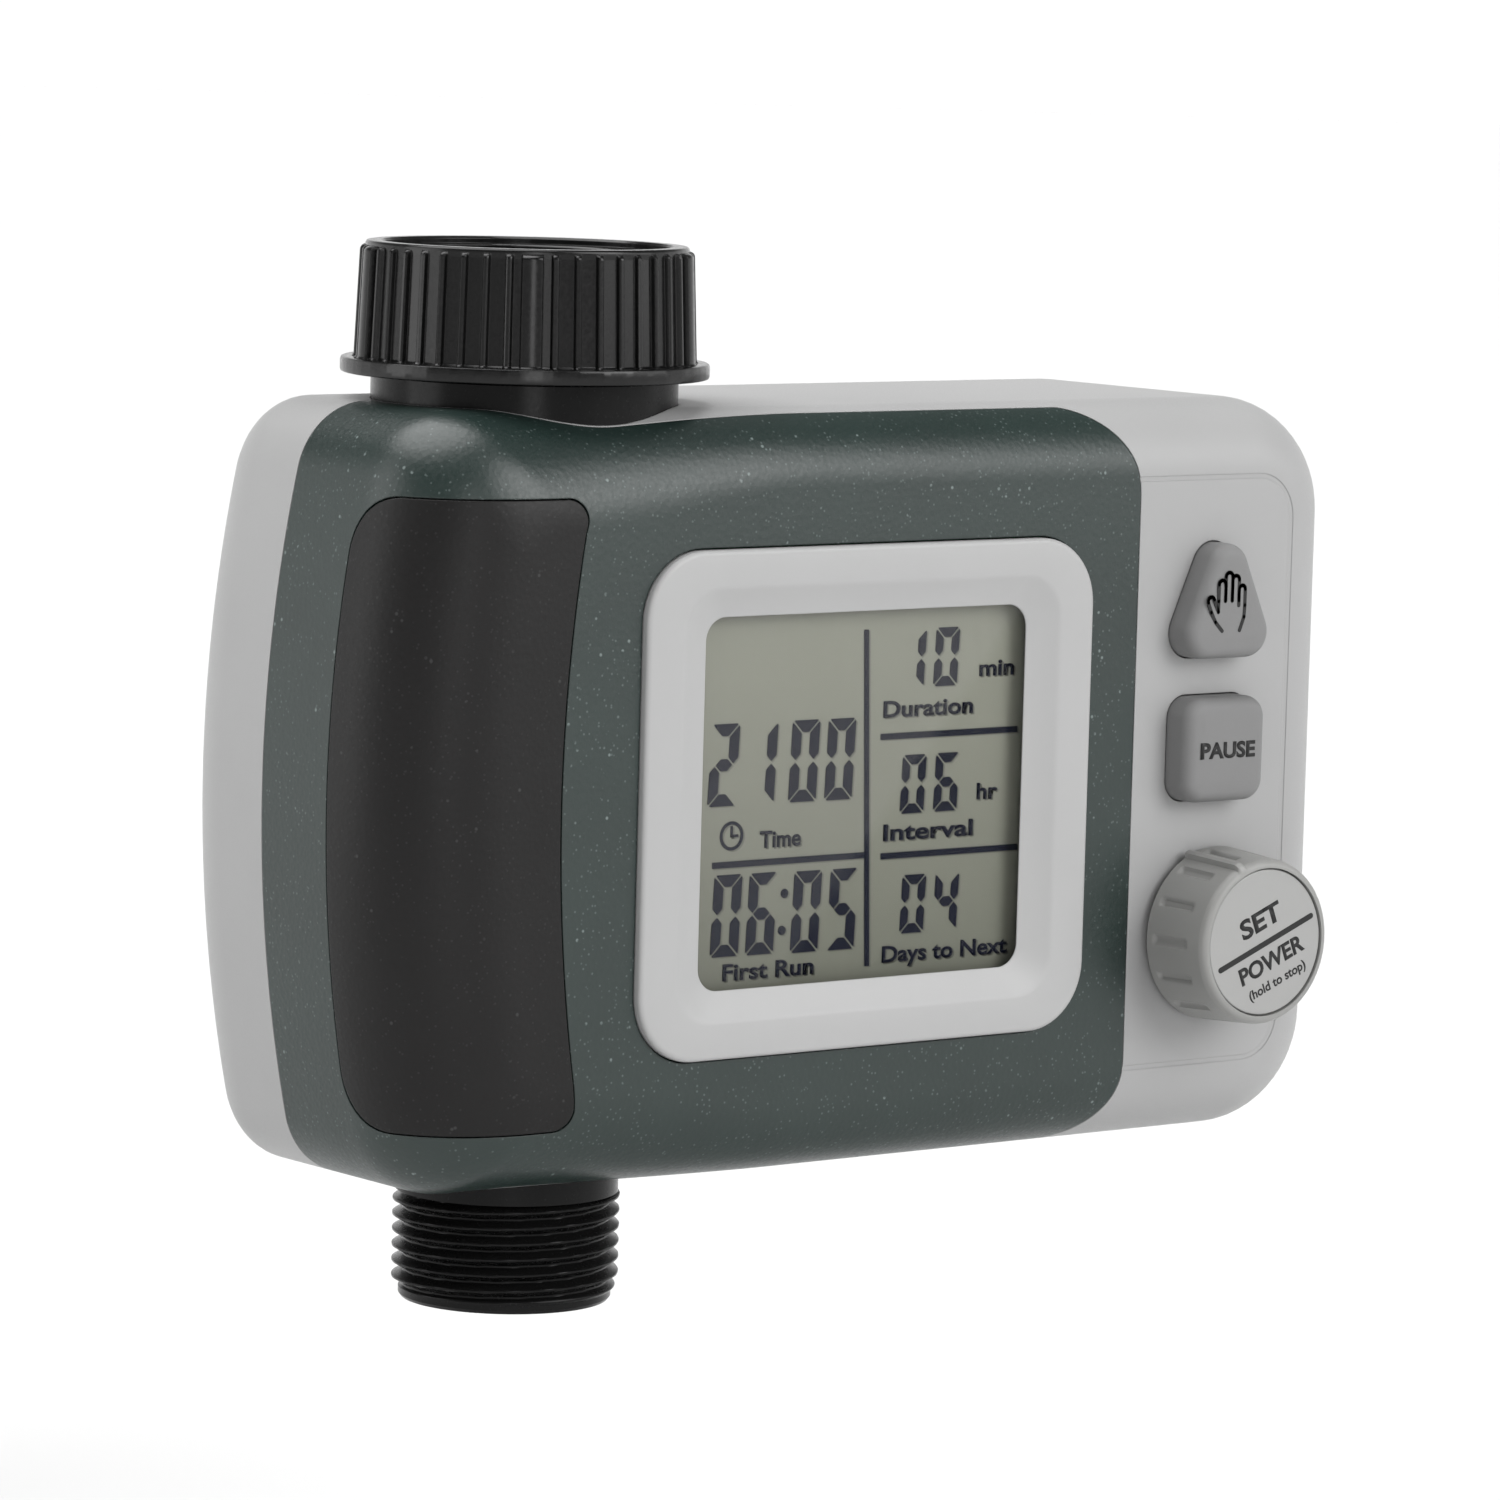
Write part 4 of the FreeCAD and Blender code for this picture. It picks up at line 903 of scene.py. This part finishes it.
def digit(figure, x, z, wide, high, stroke, y):
    """One seven-bar figure whose lower left corner is at x, z."""
    shapes = segment_shapes(wide, high, stroke, 0.15)
    lit = [shapes[segment] for segment in SEGMENTS[figure]]
    return [inked([(x + px + DIGIT_LEAN * pz, z + pz) for px, pz in outline], y) for outline in lit]


def lettering(words, height, thick, bold=0.0):
    """Flat raised letters in the front view: a mesh centred on its own origin, with its width."""
    curve = bpy.data.curves.new("letters", "FONT")
    curve.body = words
    curve.size = 1.0
    curve.offset = bold
    curve.resolution_u = 4
    thing = placed("letters", curve)
    bpy.context.view_layer.update()
    data = bpy.data.meshes.new_from_object(thing.evaluated_get(bpy.context.evaluated_depsgraph_get()))
    bpy.data.objects.remove(thing)
    bpy.data.curves.remove(curve)
    mesh = bmesh.new()
    mesh.from_mesh(data)
    bpy.data.meshes.remove(data)
    bmesh.ops.remove_doubles(mesh, verts=mesh.verts, dist=1e-5)
    tall = 0.729
    left, right = min(v.co.x for v in mesh.verts), max(v.co.x for v in mesh.verts)
    raised = bmesh.ops.extrude_face_region(mesh, geom=list(mesh.faces))
    lifted = {item for item in raised["geom"] if isinstance(item, bmesh.types.BMVert)}
    scale = height / tall
    for vertex in mesh.verts:
        depth = thick / 2 if vertex in lifted else -thick / 2
        x, z = (vertex.co.x - (left + right) / 2) * scale, (vertex.co.y - tall / 2) * scale
        vertex.co = Vector((x, depth, z)) * MM
    bmesh.ops.recalc_face_normals(mesh, faces=mesh.faces)
    out = bpy.data.meshes.new("letters")
    mesh.to_mesh(out)
    mesh.free()
    return placed("letters", out), (right - left) * scale


def fit(made, width, x, y, z, turn=0.0):
    """Stretch letters to a width and set their middle at x, z, turned in the front view."""
    thing, wide = made
    stretch = width / wide
    around = Matrix.Translation(Vector((x, y, z)) * MM) @ Matrix.Rotation(math.radians(-turn), 4, "Y")
    thing.data.transform(around @ Matrix.Diagonal((stretch, 1, 1, 1)))
    return thing


def sheared(x, z):
    return x + PRINT_SHEAR * (MIDDLE_Z - z)


def bar(left, right, bottom, top, y):
    """A printed rule, drawn with the print's own slant."""
    corners = [(left, bottom), (right, bottom), (right, top), (left, top)]
    return inked([(sheared(x, z), z) for x, z in corners], y)


def ring_plate(x, z, outer, inner, y):
    rings = []
    half = INK_THICK / 2
    for radius, depth in ((outer, -half), (outer, half), (inner, half), (inner, -half)):
        rings.append(facing(circle(x, z, radius, 40), y + depth))
    return loft(rings, closed=True)


def screen_print(y):
    """Everything the display shows, at one depth."""
    big, small = (4.05, 9.5, 1.4), (3.55, 6.9, 1.15)
    things = []
    for size, figures, lefts, lows in (
        (big, "2100", (11.95, 17.5, 23.65, 28.95), (-55.4, -55.4, -55.45, -55.5)),
        (big, "0605", (12.85, 17.95, 24.5, 29.85), (-72.85, -72.9, -73.05, -73.1)),
        (small, "10", (39.75, 44.75), (-42.85, -42.85)),
        (small, "06", (40.25, 45.25), (-57.65, -57.65)),
        (small, "04", (40.7, 45.7), (-71.8, -71.8)),
    ):
        for figure, x, z in zip(figures, lefts, lows):
            things += digit(figure, x, z, *size, y)
    for x, z in ((23.5, -66.0), (23.25, -70.3)):
        things.append(inked(circle(x, z, 0.55, 24), y))
    things.append(bar(34.87, 35.6, -75.3, -35.8, y))
    for left, right, z in ((12.6, 34.9, -62.2), (37.3, 58.0, -48.45), (37.3, 58.0, -62.5)):
        things.append(bar(left, right, z - RULE_HALF, z + RULE_HALF, y))
    for words, left, right, z in (
        ("min", 51.7, 57.0, -40.9),
        ("Duration", 37.4, 50.9, -45.2),
        ("hr", 51.85, 55.0, -55.5),
        ("Interval", 37.9, 51.4, -59.7),
        ("Days to Next", 38.2, 57.2, -74.05),
        ("Time", 19.7, 25.7, -59.5),
        ("First Run", 14.75, 28.1, -74.65),
    ):
        letters = lettering(words, LABEL_HIGH, INK_THICK, 0.028)
        things.append(fit(letters, right - left, (left + right) / 2, y, z))
    clock_x, clock_z = 15.57, -58.88
    things.append(ring_plate(clock_x, clock_z, 1.7, 1.3, y))
    left, low = clock_x - 0.17, clock_z - 0.17
    for right, top in ((left + 0.34, low + 1.3), (left + 1.15, low + 0.32)):
        things.append(inked([(left, low), (right, low), (right, top), (left, top)], y))
    return things


def make_screen():
    body = loft([
        facing(display_outline(lcd_high.x - lcd_low.x, lcd_high.z - lcd_low.z, 1.0), y)
        for y in (lcd_low.y, lcd_high.y)
    ])
    smooth(body)
    piece(body, "lcd_panel", "lcd", stands_for=["lcd_glass"])
    piece(joined("lcd_figures", screen_print(INK_Y)), "lcd_figures", "lcd_ink")
    # Painted shadow of the print: a darker copy, moved a little right and down on the display.
    painted_shadow = joined("lcd_shadow", screen_print(PAINTED_SHADOW_Y))
    painted_shadow.data.transform(Matrix.Translation(Vector((0.26, 0, -0.16)) * MM))
    piece(painted_shadow, "lcd_shadow", "lcd_painted_shadow")


# ------------------------ buttons


def make_key(outline, low, name, body, node):
    """A rubber button: hidden flange, straight sides, generous rounded edge, slightly domed face."""
    face, edge = low.y, 1.6
    back = CASE_FRONT + WALL
    rings = [facing(outline(grow), back + depth) for grow, depth in ((-0.8, 1.0), (-0.8, 0.1), (0.0, 0.1))]
    for inset, depth in rounding(edge, 8):
        rings.append(facing(outline(inset), face + 0.12 + depth))
    rings.append(facing(outline(edge + 0.9), face))
    thing = loft(rings)
    smooth(thing, 50, weighted=False)
    piece(thing, name, "key_rubber", body, [node])


def stroke_path(points, width, y, thick):
    """A line of constant width with round ends, laid in the front view."""
    things = []
    for (ax, az), (bx, bz) in zip(points, points[1:]):
        angle = math.degrees(math.atan2(bz - az, bx - ax))
        far_end = arc((bx, bz), width / 2, angle - 90, angle + 90, 6)
        outline = far_end + arc((ax, az), width / 2, angle + 90, angle + 270, 6)
        things.append(inked(outline, y, thick))
    return things


def finger(x, bottom, top, half):
    return [(x - half, bottom)] + arc((x, top - half), half, 180, 0, 8) + [(x + half, bottom)]


def make_hand_print():
    """A plain open-hand sign: four fingers, thumb and palm edges."""
    y = manual_low.y
    thumb_tip = arc((81.85, -33.55), 0.5, 20, 200, 6)
    lines = [
        finger(83.55, -33.6, -31.1, 0.52),
        finger(84.62, -33.6, -30.2, 0.52),
        finger(85.68, -33.6, -30.6, 0.52),
        finger(86.70, -34.2, -31.8, 0.48),
        [(83.03, -33.6), (83.0, -34.9)],
        [(83.0, -34.9)] + thumb_tip + [(81.9, -34.9), (82.6, -36.1), (83.7, -37.2)],
        [(87.18, -34.2), (87.1, -35.6), (86.45, -37.2)],
    ]
    things = []
    for line in lines:
        things += stroke_path(line, 0.47, y, 0.1)
    piece(joined("hand", things), "manual_print", "print_black", "manual_key")


def make_pause_print():
    word = fit(lettering("PAUSE", 1.9, 0.1, 0.035), 8.6, KEY_X - 0.1, delay_low.y, -51.5)
    piece(word, "delay_print", "print_black", "delay_key")


# ------------------------ knob

KNOB_FACE, KNOB_BACK = knob_low.y, knob_high.y
CAP_RADIUS = (cap_high.x - cap_low.x) / 2
POINTER_ANGLE = 114.0
FLUTES = 14
FIRST_FLUTE = 90 + 180 / FLUTES


def knob_radius(share):
    return 10.5 - 0.6 * share


def around_knob(angle, radius, y):
    turn = math.radians(angle)
    return (KNOB_X + radius * math.cos(turn), y, KNOB_Z + radius * math.sin(turn))


def bumped(distance, half, soft):
    """1 within half of the middle, falling smoothly to 0 over soft."""
    return 1 - eased(clamped((distance - half) / soft))


def knob_ring(radius, y, columns=288):
    """A ring round the knob's axis; the radius is a number or depends on the angle."""
    angles = [360 * number / columns for number in range(columns)]
    return [around_knob(angle, radius(angle) if callable(radius) else radius, y) for angle in angles]


def pointer_rib(angle):
    """How far the pointer stands out."""
    return 0.62 * bumped(abs((angle - POINTER_ANGLE + 180) % 360 - 180), 2.4, 1.2)


def flute(angle, depth):
    """How far a finger groove goes in, at a depth from the knob's back."""
    spacing = 360 / FLUTES
    off = abs((angle - FIRST_FLUTE + spacing / 2) % spacing - spacing / 2)
    return 0.40 * bumped(off, 2.0, 1.4) * bumped(abs(depth - 3.8), 2.35, 0.6)


def make_knob():
    length, edge, steps = KNOB_BACK - KNOB_FACE, 0.85, 40
    rings = [knob_ring(9.6, KNOB_BACK)]
    for step in range(steps + 1):
        depth = step / steps * (length - edge)
        side = knob_radius(depth / length)
        rings.append(knob_ring(lambda at: side - flute(at, depth) + pointer_rib(at), KNOB_BACK - depth))
    for inset, depth in rounding(edge, 8, 1):
        side, fade = knob_radius(1.0) - inset, 1 - inset / edge
        rings.append(knob_ring(lambda at: side + pointer_rib(at) * fade, KNOB_FACE + depth))
    rim, recess = CAP_RADIUS + 0.17, 0.9
    rings += [knob_ring(rim, KNOB_FACE), knob_ring(rim, KNOB_FACE + recess)]
    thing = loft(rings)
    smooth(thing, 45, weighted=False)
    piece(thing, "knob_body", "knob_grey", "dial", ["knob"])


def make_cap():
    face, edge, columns = cap_low.y, 0.2, 120
    rings = [knob_ring(CAP_RADIUS, cap_high.y, columns)]
    rings += [knob_ring(CAP_RADIUS - inset, face + depth, columns) for inset, depth in rounding(edge, 4)]
    thing = loft(rings)
    smooth(thing, 45)
    piece(thing, "knob_cap_disc", "label_foil", "dial", ["knob_cap"])
    tilt = 22.0
    cosine, sine = math.cos(math.radians(tilt)), math.sin(math.radians(tilt))

    def on_cap(along, across):
        return KNOB_X + 0.5 + along * cosine - across * sine, KNOB_Z + along * sine + across * cosine

    things = stroke_path([on_cap(-8.0, 0), on_cap(7.3, 0)], 0.7, face, 0.06)
    for words, height, width, across, bold in (
        ("SET", 2.4, 6.6, 3.0, 0.03),
        ("POWER", 2.1, 10.6, -2.25, 0.03),
        ("(hold to stop)", 1.2, 9.4, -5.0, 0.02),
    ):
        x, z = on_cap(-0.2, across)
        things.append(fit(lettering(words, height, 0.06, bold), width, x, face, z, tilt))
    piece(joined("cap_print", things), "cap_print", "print_black", "dial")


# ------------------------ hose connections


def thread_depth(turns, crest=0.16, root=0.2):
    """How far up a thread's flank a point is, by its place in the pitch: 0 at the root, 1 on the crest."""
    place = abs(turns - round(turns)) * 2
    return clamped(1 - (place - crest) / (1 - root - crest))


def make_nut():
    """Hose-tap nut: flange, five grip bars, fine ribs between them, helical thread inside."""
    bars, ribs, first_bar = 5, 8, -124.0
    bar_half, rib_half, slope = 3.3, 0.95, 0.5
    angles = []
    for number in range(bars * (ribs + 1)):
        middle = first_bar + 360 * number / bars / (ribs + 1)
        is_bar = number % (ribs + 1) == 0
        half = bar_half if is_bar else rib_half
        for reach, height in ((half, 0.78), (half * 0.5, 1.0), (half + slope, 0.0)):
            angles += [((middle - reach) % 360, height, is_bar), ((middle + reach) % 360, height, is_bar)]
    angles.sort()

    def ring(z, base, rib_height=0.0, bar_height=0.0):
        return [
            polar(base + height * (bar_height if is_bar else rib_height), angle, z)
            for angle, height, is_bar in angles
        ]

    low, high = nut_low.z, nut_high.z
    flange, side, side_top = nut_high.x, 19.1, 18.6
    throat, bore, rib_height = 12.5, 16.62, 0.62
    shoulder, lip = high - 1.15, 0.4
    rings = [ring(low, throat), ring(low, flange - 0.35)]
    for up, inset in ((0.1, 0.1), (0.35, 0.0), (1.4, 0.0), (1.7, 0.1), (1.8, 0.3)):
        rings.append(ring(low + up, flange - inset))
    rings += [ring(low + 1.8, side + 0.2, rib_height, 0.95), ring(low + 2.0, side, rib_height, 1.0)]
    for turn in quarter(6):
        fade = math.cos(turn)
        rings.append(ring(shoulder + 0.6 * math.sin(turn), side_top, rib_height * fade, fade))
    rings += [ring(high - depth, side_top - inset) for inset, depth in rounding(lip, 6)]
    rings += [ring(high, bore + 0.25), ring(high - 0.25, bore)]
    pitch, crest, first_crest = 2.309, 15.2, 0.25
    top, bottom, seat = high - 0.8, -0.6, -4.5
    rows, fade_in = 70, 0.6
    for row in range(rows + 1):
        z = top + (bottom - top) * row / rows
        points = []
        fade = clamped(min(top - z, z - bottom) / fade_in)
        for angle, _, _ in angles:
            depth = thread_depth((z - first_crest) / pitch - angle / 360) * fade
            points.append(polar(bore - (bore - crest) * depth, angle, z))
        rings.append(points)
    rings += [ring(seat, bore), ring(seat, throat)]
    thing = loft(rings, closed=True)
    smooth(thing, 28)
    piece(thing, "inlet_nut_ribbed", "nut_black", "tap_nut", ["inlet_nut"])


def make_outlet():
    """Hose thread below the case, with its run-out under the neck."""
    crest, root, pitch, end = 13.22, 12.06, 1.814, valve_low.z
    first_crest, neck_end = -103.33, -101.6
    tip, thread_end = 12.4, end + 1.0
    bore, overlap = 8.5, CASE_BOTTOM + 0.2
    columns, rows = 160, 120
    profile = [(bore, overlap), (OUTLET_NECK, overlap), (OUTLET_NECK, neck_end)]
    rings = [level_ring(radius, z, columns) for radius, z in profile]
    for row in range(1, rows + 1):
        z = neck_end + (thread_end - neck_end) * row / rows
        lead_in = clamped((z - thread_end) / 0.9)
        points = []
        for number in range(columns):
            angle = 360 * number / columns
            place = (first_crest - z) / pitch + ((angle - 60) % 360) / 360
            deep = root + (crest - root) * thread_depth(place, 0.14, 0.14)
            run_out = clamped((place + 0.75) / 0.3)
            radius = OUTLET_NECK + (deep - OUTLET_NECK) * run_out
            radius = min(radius, tip + max(0.0, radius - tip) * lead_in)
            points.append(polar(radius, angle, z))
        rings.append(points)
    profile = [(tip, end + 0.4), (tip - 0.3, end), (bore + 0.4, end), (bore, end + 0.4)]
    rings += [level_ring(radius, z, columns) for radius, z in profile]
    thread = loft(rings, closed=True)
    cad = frame["nodes"]["valve_body"]
    body = new_object("valve", [], [])
    mesh = bmesh.new()
    mesh.from_mesh(cad.data)
    bmesh.ops.remove_doubles(mesh, verts=mesh.verts, dist=2e-7)
    mesh.to_mesh(body.data)
    mesh.free()
    body = cut(body, up_to(z=overlap))
    whole = joined("valve", [body, thread])
    smooth(whole, 30)
    piece(whole, "valve_body_threaded", "hose_black", "case", ["valve_body"])


# ------------------------ springs

SPRING_STEPS = 16
WIRE_SIDES = 10


def make_spring(node, turns, wire):
    """A round-wire spring along X, in the place of its CAD node."""
    low, high = node_box(node)
    _, middle_y, middle_z = (low + high) / 2
    radius = (high.z - low.z - wire) / 2
    length = high.x - low.x
    rings = []
    for step in range(turns * SPRING_STEPS + 1):
        share = step / (turns * SPRING_STEPS)
        turn = math.tau * turns * share
        x = low.x + wire / 2 + (length - wire) * share
        ring = []
        for side in range(WIRE_SIDES):
            around = math.tau * side / WIRE_SIDES
            out = radius + wire / 2 * math.cos(around)
            along = wire / 2 * math.sin(around)
            ring.append((x + along, middle_y + out * math.cos(turn), middle_z + out * math.sin(turn)))
        rings.append(ring)
    spring = loft(rings, node)
    smooth(spring, 40)
    piece(spring, f"{node}_wire", "steel", "case", [node])
    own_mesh(spring)


# ------------------------ every piece

make_case()
make_spring("diaphragm_spring", 4, 0.8)
make_spring("plunger_spring", 6, 0.5)
make_bezel()
make_lens()
make_screen()
make_key(manual_outline, manual_low, "manual_key_cap", "manual_key", "manual_button")
make_key(delay_outline, delay_low, "delay_key_cap", "delay_key", "delay_button")
make_hand_print()
make_pause_print()
make_knob()
make_cap()
make_nut()
make_outlet()

# ------------------------ camera, floor and light

CAMERA_AZIMUTH = math.radians(37.777)
CAMERA_PITCH = math.radians(6.354)
CAMERA_ROLL = math.radians(1.51)
CAMERA_DISTANCE = 822.364
CAMERA_TARGET = Vector((21.341, -16.541, -49.694))
CAMERA_LENS = 170.812


def add_camera():
    data = bpy.data.cameras.new("camera")
    data.lens = CAMERA_LENS
    data.sensor_width = 36
    data.clip_start = 0.05
    data.clip_end = 40
    camera = placed("camera", data)
    camera.matrix_world = (
        Matrix.Translation(CAMERA_TARGET * MM)
        @ Matrix.Rotation(-CAMERA_AZIMUTH, 4, "Z")
        @ Matrix.Rotation(math.pi / 2 - CAMERA_PITCH, 4, "X")
        @ Matrix.Rotation(CAMERA_ROLL, 4, "Z")
        @ Matrix.Translation((0, 0, CAMERA_DISTANCE * MM))
    )
    bpy.context.scene.camera = camera


def add_floor():
    """A wide pale sheet below the hose end."""
    level, radius, sides = valve_low.z - 45, 9000, 96
    floor = new_object("floor", level_ring(radius, level, sides), [tuple(range(sides))])
    paper = Nodes("floor_paper", grey(0.62), 0.9)
    tint = paper.ramp(paper.noise(3), [(0.3, grey(0.615)), (0.7, grey(0.625))])
    paper.feed(paper.shader, Base_Color=tint, Specular_IOR_Level=0.1)
    paper.feed(paper.shader, Roughness=paper.map(paper.noise(40), 0.85, 0.95))
    floor.data.materials.append(paper.material)


def add_light(name, kind, energy, towards, place=(0, 0, 0), **settings):
    data = bpy.data.lights.new(name, kind)
    data.energy = energy
    for setting, value in settings.items():
        setattr(data, setting, value)
    light = placed(name, data)
    light.location = Vector(place) * MM
    light.rotation_mode = "QUATERNION"
    light.rotation_quaternion = Vector(towards).to_track_quat("-Z", "Y")


def add_area(name, place, wide, high, watts):
    """A soft box that faces the object."""
    towards = OBJECT_MIDDLE - Vector(place)
    add_light(name, "AREA", watts, towards, place, shape="RECTANGLE", size=wide, size_y=high)


def add_sun(name, towards, strength, spread):
    """A broad far light that shines along towards."""
    add_light(name, "SUN", strength, towards, angle=math.radians(spread))


def add_world():
    """White low down behind the object, dimmer in front and dark overhead."""
    world = bpy.data.worlds.new("studio")
    world.use_nodes = True
    sky = Tree(world.node_tree)
    place = sky.new("TexCoord").outputs["Generated"]
    upwards = sky.map(sky.parts(place)["Z"], 1.05, 0.16, 0.12, 0.45, interpolation_type="SMOOTHSTEP")
    away = sky.new("VectorMath", operation="DOT_PRODUCT")
    sky.plug(away.inputs[0], place)
    sky.plug(away.inputs[1], (0.61, 0.79, 0.0))
    behind = sky.map(away.outputs["Value"], 0.55, 1.0, -0.5, 0.4)
    background = sky.tree.nodes["Background"]
    sky.feed(background, Color=(1, 1, 1, 1), Strength=sky.math("MULTIPLY", upwards, behind))
    bpy.context.scene.world = world


OBJECT_MIDDLE = Vector((30, 0, -54))
add_camera()
add_floor()
add_world()
add_sun("top", (0.22, -0.22, -0.95), 3.8, 60)
add_sun("front", (-0.32, 0.80, -0.52), 2.0, 42)
add_area("key", (600, -730, 205), 0.8, 0.4, 1.8)
add_area("side", (-470, -860, 60), 0.22, 0.9, 1.8)
add_area("rim", (-820, 420, 120), 0.5, 0.8, 2.6)
bpy.context.scene.view_settings.view_transform = "Standard"
